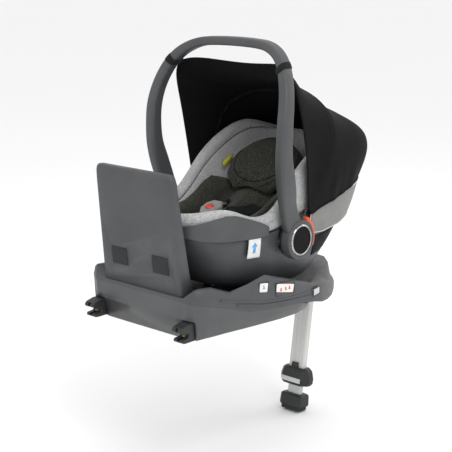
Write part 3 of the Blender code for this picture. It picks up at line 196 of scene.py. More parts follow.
CHARCOAL = plastic("charcoal_plastic", (.060, .062, .066), .46, spec=.42)
CHARCOAL_LOW = plastic("lower_charcoal_plastic", (.068, .070, .072), .36, .3, spec=.45)
DARK = plastic("dark_plastic", (.020, .021, .022), .48, spec=.35)
SOFT_DARK = plastic("dark_rubber", (.026, .027, .028), .75, .5, .25)
BLACK = plastic("black_gloss_plastic", (.0030, .0030, .0034), .45, .05, spec=.08)
GREY = plastic("grey_plastic", (.24, .245, .24), .42)
SILVER = plastic("silver_painted_plastic", (.52, .53, .52), .34, .15)
WHITE = plastic("white_plastic", (.74, .74, .71), .35, .1, worn=.03)
RED = plastic("red_plastic", (.62, .055, .035), .34, .2, worn=.05)
ORANGE = plastic("orange_plastic", (.70, .075, .018), .38, .2, worn=.05)
CLAW = plastic("claw_painted_metal", (.36, .37, .05), .42, .3)
STEEL = metal("brushed_steel", (.52, .53, .54), .32, "X")
TUBE = plastic("silver_anodised_tube", (.58, .59, .565), .36, .18, worn=.03)
CHROME = metal("chrome", (.50, .50, .51), .20, "X", .02)
LIGHT = melange("light_melange_fabric", (.44, .446, .442), (.64, .645, .64), (.15, .155, .16), .0026, .18)
# the same light melange made darker for the cover's inside: painted shade, not put on any piece
LIGHT_SHADED_INSIDE = melange("light_melange_painted_shade_inside", (.40, .405, .405), (.58, .585, .58), (.20, .205, .21), .0013)
# the head skirt is the light grey cover fabric, coloured a darker grey as painted shade
SKIRT_PAINTED_SHADE = melange("skirt_fabric", (.205, .210, .198), (.26, .265, .25), (.155, .16, .150), .0009, .12, amount=.25)
OLIVE = melange("olive_melange_fabric", (.022, .024, .0175), (.090, .093, .072), (.005, .0055, .004), .0026, .10)
CANOPY = woven("black_canopy_fabric", (.0030, .0033, .0032), (.0050, .0054, .0052), .0011, .95, .2, .015)
CANOPY.node_tree.nodes["Principled BSDF"].inputs["Specular IOR Level"].default_value = .18
PAD_BLACK = woven("black_pad_fabric", (.0048, .0050, .0054), (.010, .0105, .011), .0014, .9, .35, .04)
WEB = woven("black_webbing", (.0055, .0058, .0062), (.011, .0115, .012), .0016, .75, .6, .05)
PIPE = melange("light_piping", (.56, .565, .56), (.70, .70, .69), (.42, .42, .42), .0008, .1)
THREAD = melange("grey_thread", (.075, .078, .078), (.12, .12, .12), (.04, .04, .04), .0006, .05)
THREAD_DARK = melange("dark_thread", (.004, .004, .0035), (.010, .010, .009), (.002, .002, .002), .0006, .03)
TAG_WHITE = woven("white_tag_fabric", (.68, .69, .66), (.76, .77, .75), .0007, .8, .2)
TAG_YELLOW = woven("yellow_tag_fabric", (.60, .54, .035), (.68, .62, .06), .0007, .8, .2)
BLUE = plastic("blue_print", (.10, .36, .78), .5, .1, worn=.03)
RED_PRINT = plastic("red_print", (.66, .05, .035), .5, .1, worn=.03)
FRAME_DARK = plastic("window_surround", (.012, .012, .013), .35, .1)
DECAL = plastic("dark_label_film", (.006, .007, .010), .60, .05, spec=.08, worn=.2)
FOAM = plastic("foam_beads", (.72, .72, .70), .9, .6)


def paint(material, *names):
    for n in names:
        me = NODES[n].data
        me.materials.clear()
        me.materials.append(material)


paint(CHARCOAL, "base_upper_housing", "rebound_panel", "rebound_panel_back_cover", "seat_shell",
      "side_trim_left", "side_trim_right", "handle_arch", "canopy_bow")
paint(CHARCOAL_LOW, "base_lower_housing")
paint(DARK, "leg_collar", "leg_foot", "isofix_connector_left", "isofix_connector_right", "latch_slider",
      "handle_pivot_left", "handle_pivot_right", "adjuster_housing")
paint(SOFT_DARK, "foot_sole", "rebound_pad_left", "rebound_pad_right")
paint(GREY, "buckle_body", "adjuster_button")
paint(SILVER, "carrier_release_button", "leg_adjust_button")
paint(WHITE, "indicator_window_single", "indicator_window_triple")
paint(STEEL, "isofix_arm_left", "isofix_arm_right", "latch_bar_front", "latch_bar_rear", "leg_hinge_bracket",
      "leg_hinge_pin", "buckle_tongue_left", "buckle_tongue_right")
paint(TUBE, "leg_upper_tube", "leg_lower_tube")
paint(CHROME, "hub_ring_left", "hub_ring_right")
paint(BLACK, "hub_badge_left", "hub_badge_right")
paint(ORANGE, "handle_button_left", "handle_button_right")
paint(RED, "buckle_button")
paint(CLAW, "isofix_claw_left", "isofix_claw_right")
paint(FOAM, "foam_liner")


# ------------------------------------------------------------------ tools
def lerp(a, b, t):
    return a + (b - a) * t


def along(y, pts):
    return float(np.interp(y, [p[0] for p in pts], [p[1] for p in pts]))


def obj_from(name, bm, mat, smooth=True):
    me = bpy.data.meshes.new(name)
    bm.normal_update()
    bm.to_mesh(me)
    bm.free()
    ob = bpy.data.objects.new(name, me)
    scene.collection.objects.link(ob)
    if mat:
        me.materials.append(mat)
    for p in me.polygons:
        p.use_smooth = smooth
    return ob


def apply_all(ob):
    dg = bpy.context.evaluated_depsgraph_get()
    bpy.context.view_layer.update()
    me = bpy.data.meshes.new_from_object(ob.evaluated_get(dg), preserve_all_data_layers=True, depsgraph=dg)
    old = ob.data
    ob.modifiers.clear()
    ob.data = me
    for p in me.polygons:
        p.use_smooth = True
    if old.users == 0:
        bpy.data.meshes.remove(old)
    return ob


def subdiv(ob, levels):
    m = ob.modifiers.new("subdivision", "SUBSURF")
    m.levels = m.render_levels = levels
    return ob


def tube(name, pts, r, mat, closed=False, sides=3):
    """A piping, seam or stitched line along points, as a mesh."""
    cu = bpy.data.curves.new(name, "CURVE")
    cu.dimensions = "3D"
    cu.bevel_depth = r
    cu.bevel_resolution = sides
    cu.use_fill_caps = not closed
    sp = cu.splines.new("POLY")
    sp.points.add(len(pts) - 1)
    for p, q in zip(sp.points, pts):
        p.co = (q[0], q[1], q[2], 1)
    sp.use_cyclic_u = closed
    tmp = bpy.data.objects.new(name + "_c", cu)
    scene.collection.objects.link(tmp)
    bpy.context.view_layer.update()
    me = bpy.data.meshes.new_from_object(tmp.evaluated_get(bpy.context.evaluated_depsgraph_get()))
    bpy.data.objects.remove(tmp, do_unlink=True)
    ob = bpy.data.objects.new(name, me)
    scene.collection.objects.link(ob)
    me.materials.clear()
    me.materials.append(mat)
    for p in me.polygons:
        p.use_smooth = True
    return ob


def smooth_path(pts, n):
    """n points on a Catmull-Rom curve through pts."""
    pts = [Vector(p) for p in pts]
    out = []
    for k in range(n):
        u = k / (n - 1) * (len(pts) - 1)
        i = min(int(u), len(pts) - 2)
        t = u - i
        a, b, c, d = pts[max(i - 1, 0)], pts[i], pts[i + 1], pts[min(i + 2, len(pts) - 1)]
        out.append(.5 * (2 * b + (c - a) * t + (2 * a - 5 * b + 4 * c - d) * t * t + (3 * b - a - 3 * c + d) * t ** 3))
    return out


def stitches(name, pts, mat, length=.0034, gap=.0020, r=.00045, lift=None):
    """A run of separate stitches along a path, joined in one mesh."""
    bm = bmesh.new()
    pts = [Vector(p) for p in pts]
    d = [0.0]
    for a, b in zip(pts, pts[1:]):
        d.append(d[-1] + (b - a).length)
    xs = [np.interp(0, [0], [0])]

    def at(s):
        return Vector([float(np.interp(s, d, [p[k] for p in pts])) for k in range(3)])
    s = 0.0
    while s + length < d[-1]:
        a, b = at(s), at(s + length)
        t = (b - a).normalized()
        u = t.orthogonal().normalized()
        w = t.cross(u)
        ring = []
        for q, f in ((a, .5), (a.lerp(b, .25), 1), (a.lerp(b, .75), 1), (b, .5)):
            ring.append([bm.verts.new(q + (u * math.cos(k * math.pi / 3) + w * math.sin(k * math.pi / 3)) * r * f)
                         for k in range(6)])
        for x, y in zip(ring, ring[1:]):
            for k in range(6):
                bm.faces.new([x[k], x[(k + 1) % 6], y[(k + 1) % 6], y[k]])
        bm.faces.new(ring[0][::-1])
        bm.faces.new(ring[-1])
        s += length + gap
    return obj_from(name, bm, mat)


def tree_of(*obs):
    dg = bpy.context.evaluated_depsgraph_get()
    bm = bmesh.new()
    for ob in obs:
        me = ob.evaluated_get(dg).to_mesh()
        bm.from_mesh(me)
    t = BVHTree.FromBMesh(bm)
    bm.free()
    return t


def drop(tree, x, y, top=.60):
    hit, nrm, _, _ = tree.ray_cast(Vector((x, y, top)), Vector((0, 0, -1)))
    if hit is None:
        return None, None
    return hit, (nrm if nrm.z > 0 else -nrm)


def node_copy(name, node, mat):
    """The CAD solid's mesh as a starting shape for a soft piece."""
    me = NODES[node].data.copy()
    ob = bpy.data.objects.new(name, me)
    scene.collection.objects.link(ob)
    bm = bmesh.new()
    bm.from_mesh(me)
    bmesh.ops.remove_doubles(bm, verts=bm.verts, dist=2e-5)
    bm.to_mesh(me)
    bm.free()
    me.materials.clear()
    me.materials.append(mat)
    return ob


def smooth_node(name, node, mat, body, angle=38):
    """A hard piece with its CAD shape, shaded smooth across its shallow edges."""
    ob = node_copy(name, node, mat)
    me = ob.data
    me.shade_smooth()
    me.set_sharp_from_angle(angle=math.radians(angle))
    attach(ob, body)
    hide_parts(node)
    return ob


def plump(ob, voxel=.005, cap=.007, pressure=4.0, shrink=.0, frames=20, levels=1):
    """Padded fabric: remeshed, blown up as cloth, with the movement capped."""
    m = ob.modifiers.new("remesh", "REMESH")
    m.mode = "VOXEL"
    m.voxel_size = voxel
    apply_all(ob)
    bm = bmesh.new()
    bm.from_mesh(ob.data)
    for _ in range(4):
        bmesh.ops.smooth_vert(bm, verts=bm.verts, factor=.5, use_axis_x=True, use_axis_y=True, use_axis_z=True)
    if shrink:
        bm.normal_update()
        for v in bm.verts:
            v.co -= v.normal * shrink
    bm.to_mesh(ob.data)
    bm.free()
    rest = np.array([v.co for v in ob.data.vertices])
    c = ob.modifiers.new("cloth", "CLOTH")
    s = c.settings
    s.quality = 5
    s.mass = .3
    s.use_pressure = True
    s.uniform_pressure_force = pressure
    s.tension_stiffness = 15
    s.compression_stiffness = 15
    s.shear_stiffness = 5
    s.bending_stiffness = .5
    s.effector_weights.gravity = 0
    c.collision_settings.use_self_collision = False
    scene.frame_start, scene.frame_end = 1, frames
    c.point_cache.frame_start, c.point_cache.frame_end = 1, frames
    for f in range(1, frames + 1):
        scene.frame_set(f)
    apply_all(ob)
    scene.frame_set(1)
    new = np.array([v.co for v in ob.data.vertices])
    move = new - rest
    dist = np.linalg.norm(move, axis=1, keepdims=True)
    soft = cap * np.tanh(dist / cap)
    new = rest + move / np.maximum(dist, 1e-9) * soft
    ob.data.vertices.foreach_set("co", new.astype(np.float32).ravel())
    ob.data.update()
    if levels:
        subdiv(ob, levels)
        apply_all(ob)
    return ob


# ------------------------------------------------------------------ carrier rings
PLAN = [(0, -1), (.40, -.99), (.70, -.935), (.885, -.78), (.97, -.52), (1, -.24), (1, .04),
        (.99, .33), (.925, .62), (.745, .84), (.42, .965), (0, 1)]
CREASE = [(-.26, .222), (-.22, .210), (-.17, .204), (-.10, .200), (-.04, .198), (.02, .205),
          (.08, .225), (.16, .240), (.25, .255), (.37, .268)]
RIM_Z = [(-.26, .262), (-.22, .273), (-.175, .279), (-.145, .275), (-.115, .262), (-.092, .248),
         (-.060, .242), (-.030, .247), (.000, .258), (.030, .290), (.070, .335), (.110, .363),
         (.150, .384), (.200, .403), (.240, .408), (.275, .400), (.310, .386), (.350, .374), (.40, .370)]
FLOOR = [(-.24, .236), (-.20, .215), (-.15, .190), (-.08, .172), (.00, .168), (.06, .182),
         (.12, .220), (.20, .285), (.26, .335), (.31, .375)]


def crease(y):
    return along(y, CREASE)


def rim(y):
    return along(y, RIM_Z)


def floor_z(y):
    return along(y, FLOOR)


def plan_point(u, b, yf, yh):
    """Point of the carrier's plan outline at station u (0 foot, 11 head)."""
    i = min(int(u), len(PLAN) - 2)
    t = u - i
    p = [PLAN[max(i - 1, 0)], PLAN[i], PLAN[i + 1], PLAN[min(i + 2, len(PLAN) - 1)]]
    if i == 0:
        p[0] = (-PLAN[1][0], PLAN[1][1])
    if i == len(PLAN) - 2:
        p[3] = (-PLAN[-2][0], PLAN[-2][1])
    out = []
    for c in (0, 1):
        a, b_, c_, d_ = (q[c] for q in p)
        out.append(.5 * (2 * b_ + (c_ - a) * t + (2 * a - 5 * b_ + 4 * c_ - d_) * t * t
                         + (3 * b_ - a - 3 * c_ + d_) * t ** 3))
    return Vector((out[0] * b, lerp(yf, yh, (out[1] + 1) / 2), 0))


def cradle_ring(b, yf, yh, z, per=2):
    """A closed ring round the carrier at half width b, from yf to yh, height z(y)."""
    n = (len(PLAN) - 1) * per
    half = []
    for k in range(n + 1):
        p = plan_point(k / per, b, yf, yh)
        half.append(Vector((p.x, p.y, z(p.y))))
    half[0].x = half[-1].x = 0
    return half + [Vector((-p.x, p.y, p.z)) for p in reversed(half[1:-1])]


def between(a, b, t):
    return [p.lerp(q, t) for p, q in zip(a, b)]


def ring_sheet(name, rings, mat, levels=1, cap=True):
    bm = bmesh.new()
    rows = [[bm.verts.new(p) for p in r] for r in rings]
    n = len(rows[0])
    for a, b in zip(rows, rows[1:]):
        for i in range(n):
            bm.faces.new([a[i], a[(i + 1) % n], b[(i + 1) % n], b[i]])
    if cap:
        c = bm.verts.new(sum((v.co for v in rows[-1]), Vector()) / n)
        for i in range(n):
            bm.faces.new([rows[-1][i], rows[-1][(i + 1) % n], c])
    bmesh.ops.recalc_face_normals(bm, faces=bm.faces)
    ob = obj_from(name, bm, mat)
    if levels:
        subdiv(ob, levels)
        apply_all(ob)
    return ob


# ------------------------------------------------------------------ seat cover
INNER = [cradle_ring(.1420, -.2260, .3420, lambda y: rim(y) - .010),
         cradle_ring(.1290, -.2080, .3220, lambda y: lerp(floor_z(y), rim(y), .55)),
         cradle_ring(.1130, -.1850, .2950, lambda y: lerp(floor_z(y), rim(y), .16)),
         cradle_ring(.0780, -.1450, .2480, floor_z)]
R_EDGE = cradle_ring(.1640, -.2480, .3840, lambda y: crease(y) + .0030)
R_OUT = cradle_ring(.1690, -.2530, .3840, lambda y: lerp(crease(y), rim(y), .45))
R_HIGH = cradle_ring(.1660, -.2500, .3740, lambda y: rim(y) - .008)
R_TOP = cradle_ring(.1550, -.2390, .3580, rim)


def sunk(ring, d):
    """The ring pressed into the foam by d, for a sewn-down seam."""
    out = []
    n = len(ring)
    for i, p in enumerate(ring):
        t = (ring[(i + 1) % n] - ring[i - 1]).normalized()
        side = Vector((-t.y, t.x, 0))
        c = Vector((0, .06, .26))
        if side.dot(p - c) < 0:
            side = -side
        out.append(p + (side * .7 + Vector((0, 0, -.7))) * d)
    return out


UNDER = [cradle_ring(.1520, -.2360, .3680, lambda y: crease(y) + .0060)]
rings = [UNDER[0], R_EDGE, R_OUT, R_HIGH, R_TOP, between(R_TOP, INNER[0], .55),
         between(INNER[0], INNER[1], .02), between(INNER[0], INNER[1], .26),
         sunk(between(INNER[0], INNER[1], .34), .0042), between(INNER[0], INNER[1], .42),
         between(INNER[0], INNER[1], .75), INNER[1], between(INNER[1], INNER[2], .5), INNER[2],
         between(INNER[2], INNER[3], .5), INNER[3]]
cover = ring_sheet("seat_cover_fabric", rings, LIGHT, 2)
cover_tree = tree_of(cover)


def on_surface(tree, pts, lift=0.0):
    out = []
    for p in pts:
        q, n, _, d = tree.find_nearest(Vector(p))
        out.append(q + n * lift)
    return out


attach(cover, "carrier")
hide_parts("seat_cover")

seam = tube("cover_inner_seam", on_surface(cover_tree, sunk(between(INNER[0], INNER[1], .34), .0042), .0002), .0011,
            THREAD, closed=True)
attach(seam, "carrier")
# stitched seam along the outer side of the front half
n_r = len(R_OUT)
ring = between(R_OUT, R_HIGH, .55)
for side, idx in (("right", range(1, 11)), ("left", range(n_r - 1, n_r - 11, -1))):
    pts = on_surface(cover_tree, smooth_path([ring[i] for i in idx], 90), .0003)
    for row, dz in enumerate((0, -.0042)):
        line = on_surface(cover_tree, [p + Vector((0, 0, dz)) for p in pts], .0003)
        st = stitches(f"cover_stitch_{side}_{row}", line, THREAD, .0036, .0022, .00045)
        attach(st, "carrier")

# ------------------------------------------------------------------ hard shells and handle
for node, mat, slot_name, angle in (
        ("base_upper_housing", CHARCOAL, "charcoal_plastic", 34), ("base_lower_housing", CHARCOAL_LOW, "lower_plastic", 34),
        ("rebound_panel", CHARCOAL, "charcoal_plastic", 30),
        ("rebound_panel_back_cover", CHARCOAL, "charcoal_plastic", 30)):
    smooth_node(node + "_skin", node, mat, "base", angle)
for side in ("left", "right"):
    smooth_node(f"hub_ring_{side}_skin", f"hub_ring_{side}", CHROME, "handle", 30)
    smooth_node(f"handle_button_{side}_skin", f"handle_button_{side}", ORANGE, f"handle_release_{side}",
                30)
    smooth_node(f"handle_pivot_{side}_skin", f"handle_pivot_{side}", DARK, "carrier", 30)
smooth_node("buckle_button_skin", "buckle_button", RED, "buckle_release", 30)
smooth_node("leg_hinge_pin_skin", "leg_hinge_pin", STEEL, "base", 30)


smooth_node("seat_shell_skin", "seat_shell", CHARCOAL, "carrier", 50)

# the carry handle: a rounded section drawn along its arch, with a disc at each end
ARCH = [
    (.1885, .0300, .1900, .0205, .060), (.1885, .0150, .2150, .0205, .055), (.1890, .0050, .2400, .0210, .0515),
    (.1915, -.0060, .2700, .0225, .0485), (.1960, -.0145, .3000, .0250, .0500), (.2000, -.0240, .3350, .0265, .0480),
    (.2030, -.0330, .3750, .0280, .0400), (.2045, -.0345, .4200, .0280, .0360), (.2040, -.0315, .4600, .0280, .0350),
    (.2000, -.0240, .4950, .0275, .0340), (.1915, -.0140, .5280, .0265, .0335), (.1770, -.0020, .5600, .0260, .0330),
    (.1560, .0110, .5865, .0245, .0320), (.1280, .0230, .6045, .0225, .0320), (.0960, .0310, .6145, .0210, .0320),
    (.0620, .0355, .6175, .0205, .0320), (.0300, .0375, .6185, .0205, .0320), (0, .0380, .6188, .0205, .0320)]


def spread(rows, per):
    """Rows of numbers on a Catmull-Rom curve, per steps between two."""
    out = []
    n = len(rows) - 1
    for k in range(n * per + 1):
        i = min(k // per, n - 1)
        t = k / per - i
        a, b, c, d = (np.array(rows[j]) for j in (max(i - 1, 0), i, i + 1, min(i + 2, n)))
        out.append(.5 * (2 * b + (c - a) * t + (2 * a - 5 * b + 4 * c - d) * t ** 2 + (3 * b - a - 3 * c + d) * t ** 3))
    return out


full = ARCH + [(-c[0], *c[1:]) for c in reversed(ARCH[:-1])]
line = spread(full, 6)
bm = bmesh.new()
rings_ = []
for i, row in enumerate(line):
    a, b = line[max(i - 1, 0)], line[min(i + 1, len(line) - 1)]
    t = Vector((b[0] - a[0], 0, b[2] - a[2])).normalized()
    n = Vector((t.z, 0, -t.x))
    w, d = row[3], row[4]
    r = min(w, d) * .34
    ring = []
    for qx, qy, a0 in ((1, -1, -90), (1, 1, 0), (-1, 1, 90), (-1, -1, 180)):
        for j in range(6):
            ang = math.radians(a0 + 18 * j)
            px = qx * (w / 2 - r) + r * math.cos(ang)
            py = qy * (d / 2 - r) + r * math.sin(ang)
            ring.append(bm.verts.new(Vector(row[:3]) + n * px + Vector((0, 1, 0)) * py))
    rings_.append(ring)
for a, b in zip(rings_, rings_[1:]):
    for j in range(24):
        bm.faces.new([a[j], a[(j + 1) % 24], b[(j + 1) % 24], b[j]])
bm.faces.new(rings_[0])
bm.faces.new(rings_[-1])
for s in (-1, 1):
    prof = [(.1780, .0103), (.1780, .0455), (.1790, .0465), (.1988, .0465), (.2004, .0457), (.2010, .0440),
            (.2010, .0372), (.2004, .0363), (.1976, .0363), (.1976, .0103)]
    hub = [[bm.verts.new((s * x, .035 + r * math.cos(math.tau * j / 72), .180 + r * math.sin(math.tau * j / 72)))
            for j in range(72)] for x, r in prof]
    for a, b in zip(hub, hub[1:] + hub[:1]):
        for j in range(72):
            bm.faces.new([a[j], a[(j + 1) % 72], b[(j + 1) % 72], b[j]])
bmesh.ops.recalc_face_normals(bm, faces=bm.faces)
handle = obj_from("carry_handle", bm, CHARCOAL)
handle.data.set_sharp_from_angle(angle=math.radians(42))
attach(handle, "handle")
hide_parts("handle_arch")

# a blunt-ended plastic trim on each side of the foot end
LOBE = [(-.262, .240), (-.235, .250), (-.200, .260), (-.170, .264), (-.145, .261), (-.115, .251),
        (-.085, .240), (-.062, .231), (-.054, .227)]
for side, s in (("left", -1), ("right", 1)):
    bm = bmesh.new()
    cols = []
    for k in range(73):
        u = lerp(.9, 4.72, k / 72)
        col = []
        p0 = plan_point(u, .1717, -.2560, .360)
        lo, hi = crease(p0.y) + .0012, along(p0.y, LOBE)
        e = max(0.0, (k - 66) / 6)
        squeeze = .5 * (1 - math.sqrt(max(0.0, 1 - e * e))) * .40
        lo, hi = lerp(lo, hi, squeeze), lerp(hi, lo, squeeze)
        for j in range(9):
            f = j / 8
            p = plan_point(u, lerp(.1712, .1722, f), lerp(-.2555, -.2568, f), .360)
            p.z = lerp(lo, hi, f)
            col.append(bm.verts.new((s * p.x, p.y, p.z)))
        cols.append(col)
    for a, b in zip(cols, cols[1:]):
        for j in range(8):
            bm.faces.new([a[j], a[j + 1], b[j + 1], b[j]])
    bmesh.ops.recalc_face_normals(bm, faces=bm.faces)
    if sum(f.normal.x * s * f.calc_area() for f in bm.faces) < 0:
        bmesh.ops.reverse_faces(bm, faces=bm.faces)
    trim = obj_from(f"side_trim_{side}_skin", bm, CHARCOAL)
    m = trim.modifiers.new("wall", "SOLIDIFY")
    m.thickness, m.offset = .0034, .7
    m = trim.modifiers.new("edge", "BEVEL")
    m.width, m.segments, m.limit_method, m.angle_limit = .0008, 2, "ANGLE", math.radians(50)
    apply_all(trim)
    trim.data.set_sharp_from_angle(angle=math.radians(60))
    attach(trim, "carrier")
    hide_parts(f"side_trim_{side}")

# two moulded ridges along each flank of the upper housing
RIDGES = [
    [(.1719, -.2064, .0837), (.1778, -.1667, .0734), (.1886, -.0935, .0588), (.1946, -.0498, .0537),
     (.1995, -.0054, .0506), (.2017, .0315, .0502), (.1994, .0703, .0504)],
    [(.1793, -.1604, .0643), (.1868, -.1112, .0532), (.1931, -.0655, .0485), (.1983, -.0248, .0452),
     (.2021, .0238, .0424), (.2007, .0777, .0378)]]
for s, side in ((1, "right"), (-1, "left")):
    top_tree = tree_of(NODES["base_upper_housing"])
    for k, pts in enumerate(RIDGES):
        path_ = []
        for p in smooth_path([(s * q[0], q[1], q[2]) for q in pts], 60):
            hit, n, _, _ = top_tree.ray_cast(Vector((s * .30, p.y, p.z)), Vector((-s, 0, 0)))
            if hit is not None:
                path_.append(hit)
        ridge = tube(f"housing_ridge_{side}_{k}", path_, .0026, CHARCOAL)
        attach(ridge, "base")

# plain label film on the shell behind the hub
shell_tree = tree_of(NODES["seat_shell"])
F = [Vector((.1560, .1390, .1640)), Vector((.1330, .2480, .1700)), Vector((.1180, .2420, .1230)),
     Vector((.1410, .1440, .1130))]
out_dir = Vector((.92, .30, -.25)).normalized()
for s, side in ((1, "right"),):
    bm = bmesh.new()
    grid = []
    for i in range(25):
        row = []
        for j in range(13):
            p = F[0].lerp(F[1], i / 24).lerp(F[3].lerp(F[2], i / 24), j / 12)
            q, n, _, _ = shell_tree.ray_cast(p + out_dir * .08, -out_dir)
            if n.dot(out_dir) < 0:
                n = -n
            row.append(bm.verts.new(q + n * .0008))
        grid.append(row)
    for a, b in zip(grid, grid[1:]):
        for j in range(12):
            bm.faces.new([a[j], a[j + 1], b[j + 1], b[j]])
    bmesh.ops.recalc_face_normals(bm, faces=bm.faces)
    film = obj_from(f"label_film_{side}", bm, DECAL)
    m = film.modifiers.new("thickness", "SOLIDIFY")
    m.thickness, m.offset = .0004, 0
    apply_all(film)
    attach(film, "carrier")

# ------------------------------------------------------------------ insert and pillow
insert = plump(node_copy("newborn_insert", "insert_cushion", OLIVE), .0045, .0050, 4, .0010, 20, 1)
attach(insert, "carrier")
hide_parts("insert_cushion")
insert_tree = tree_of(insert)
for side, s in (("right", 1), ("left", -1)):
    pts = []
    for k in range(50):
        y = lerp(-.150, .070, k / 49)
        x = s * (.052 + .026 * math.sin(math.pi * k / 49))
        q, n = drop(insert_tree, x, y)
        if q is not None:
            pts.append(q + n * .0001)
    line = tube(f"insert_seam_{side}", pts, .0012, THREAD_DARK)
    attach(line, "carrier")

pillow = plump(node_copy("head_pillow_fabric", "head_pillow", OLIVE), .0045, .0050, 4, .0012, 20, 1)
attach(pillow, "carrier")
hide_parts("head_pillow")
pillow_tree = tree_of(pillow)
PN = Vector((0, -.74, .67)).normalized()
PU = Vector((1, 0, 0))
PV = Vector((0, .67, .74)).normalized()
co = [v.co for v in pillow.data.vertices]
pv = [v.dot(PV) for v in co]
mid = PV * (max(pv) + min(pv)) / 2 + PN * max(v.dot(PN) for v in co)
ru, rv = max(v.x for v in co), (max(pv) - min(pv)) / 2
for k, (r, rad, mat) in enumerate(((.80, .0012, THREAD_DARK), (.93, .0018, OLIVE))):
    pts = []
    for a in range(96):
        th = 2 * math.pi * a / 96
        start = mid + PU * ru * r * math.cos(th) + PV * rv * r * math.sin(th) + PN * .05
        hit, n, _, _ = pillow_tree.ray_cast(start, -PN)
        if hit is not None:
            pts.append(hit + PN * .0002)
    line = tube(f"pillow_seam_{k}", pts, rad, mat, closed=True)
    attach(line, "carrier")

# ------------------------------------------------------------------ harness
for side in ("left", "right"):
    pad = plump(node_copy(f"shoulder_pad_cover_{side}", f"shoulder_pad_{side}", PAD_BLACK), .0025, .0016, 3, .0004,
                14, 1)
    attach(pad, "carrier")
    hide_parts(f"shoulder_pad_{side}")
    strap = node_copy(f"harness_webbing_{side}", f"harness_strap_{side}", WEB)
    m = strap.modifiers.new("edge", "BEVEL")
    m.width, m.segments, m.limit_method = .0005, 2, "ANGLE"
    subdiv(strap, 1)
    apply_all(strap)
    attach(strap, "carrier")
    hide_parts(f"harness_strap_{side}")
crotch = plump(node_copy("crotch_pad_cover", "crotch_pad", PAD_BLACK), .002, .0016, 3, .0003, 14, 1)
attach(crotch, "carrier")
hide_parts("crotch_pad")
strap = node_copy("adjuster_webbing", "adjuster_strap", WEB)
m = strap.modifiers.new("edge", "BEVEL")
m.width, m.segments, m.limit_method = .0004, 2, "ANGLE"
subdiv(strap, 1)
apply_all(strap)
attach(strap, "carrier")
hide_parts("adjuster_strap")


# ------------------------------------------------------------------ head skirt
def skirt_point(t, f, out=.0042):
    u = lerp(6.2, 11, 1 - abs(2 * t - 1))
    s = 1 if t <= .5 else -1
    a = plan_point(u, .1672, -.2180, .3460)
    b = plan_point(u, .1705, -.2520, .3925)
    p = a.lerp(b, f)
    zlo = along(a.y, [(.06, .182), (.15, .176), (.22, .182), (.27, .190), (.35, .194)])
    zhi = crease(b.y) + .004
    p.z = lerp(zlo, zhi, f)
    nrm = Vector((p.x, max(p.y - .12, 0) * 1.3, 0)).normalized()
    p = p + nrm * (out + .0022 * math.sin(math.pi * f))
    p.x *= s
    return p


# the skirt strip carries the darker grey fabric: painted shade on the light cover fabric
bm = bmesh.new()
NT, NF = 88, 12
grid = [[bm.verts.new(skirt_point(i / NT, j / NF)) for j in range(NF + 1)] for i in range(NT + 1)]
for i in range(NT):
    for j in range(NF):
        bm.faces.new([grid[i][j], grid[i + 1][j], grid[i + 1][j + 1], grid[i][j + 1]])
bmesh.ops.recalc_face_normals(bm, faces=bm.faces)
skirt = obj_from("head_skirt_fabric", bm, SKIRT_PAINTED_SHADE)
m = skirt.modifiers.new("thickness", "SOLIDIFY")
m.thickness, m.offset = .0014, 0
apply_all(skirt)
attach(skirt, "carrier")
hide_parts("head_skirt")
for name, f, r in (("skirt_piping_top", 1.0, .0017), ("skirt_piping_bottom", 0.0, .0015)):
    pipe = tube(name, [skirt_point(i / 160, f, .0046) for i in range(161)], r, PIPE)
    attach(pipe, "carrier")
for name, t in (("skirt_piping_end_right", 0.0), ("skirt_piping_end_left", 1.0)):
    pipe = tube(name, [skirt_point(t, j / 12, .0046) for j in range(13)], .0013, PIPE)
    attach(pipe, "carrier")

# ------------------------------------------------------------------ canopy
RIBS = [
    [(.1800, .0860, .2170), (.1870, .0760, .3050), (.1895, .0620, .3900), (.1890, .0430, .4750),
     (.1840, .0100, .5740), (.1080, .0520, .5720), (0, .0680, .5650)],
    [(.1800, .1150, .2370), (.1880, .1130, .3120), (.1910, .1080, .3820), (.1890, .1000, .4500),
     (.1700, .0880, .5120), (.0980, .1040, .5380), (0, .1100, .5400)],
    [(.1785, .1700, .2450), (.1870, .1750, .3100), (.1890, .1780, .3680), (.1830, .1780, .4250),
     (.1580, .1770, .4690), (.0930, .1790, .5080), (0, .1810, .5200)],
    [(.1720, .2300, .2560), (.1800, .2400, .3120), (.1810, .2450, .3580), (.1730, .2470, .4000),
     (.1450, .2480, .4320), (.0840, .2510, .4640), (0, .2530, .4780)],
    [(.1600, .2890, .2710), (.1680, .3040, .3160), (.1680, .3140, .3560), (.1570, .3180, .3920),
     (.1260, .3180, .4160), (.0690, .3200, .4360), (0, .3220, .4460)],
    [(.1310, .3540, .2745), (.1410, .3730, .3140), (.1420, .3840, .3480), (.1300, .3850, .3800),
     (.0990, .3820, .4000), (.0520, .3810, .4140), (0, .3820, .4190)],
    [(.0700, .3900, .2750), (.0770, .4100, .3140), (.0770, .4180, .3440), (.0700, .4170, .3680),
     (.0530, .4140, .3840), (.0270, .4120, .3940), (0, .4110, .3980)]]
BACK = [(0, .4010, .2755), (0, .4200, .3140), (0, .4270, .3430), (0, .4250, .3640), (0, .4200, .3800)]
bm = bmesh.new()
right = [[bm.verts.new(p) for p in r] for r in RIBS]
left = [[bm.verts.new((-p[0], p[1], p[2])) for p in r[:-1]] + [right[i][-1]] for i, r in enumerate(RIBS)]
end = [bm.verts.new(p) for p in BACK]
for g in (right, left):
    for a, b in zip(g, g[1:]):
        for i in range(len(a) - 1):
            bm.faces.new([a[i], a[i + 1], b[i + 1], b[i]])
    a = g[-1]
    for i in range(len(end) - 1):
        bm.faces.new([a[i], a[i + 1], end[i + 1], end[i]])
    bm.faces.new([a[-3], a[-2], end[-1]])
    bm.faces.new([a[-2], a[-1], end[-1]])
bmesh.ops.recalc_face_normals(bm, faces=bm.faces)
c = Vector((0, .20, .30))
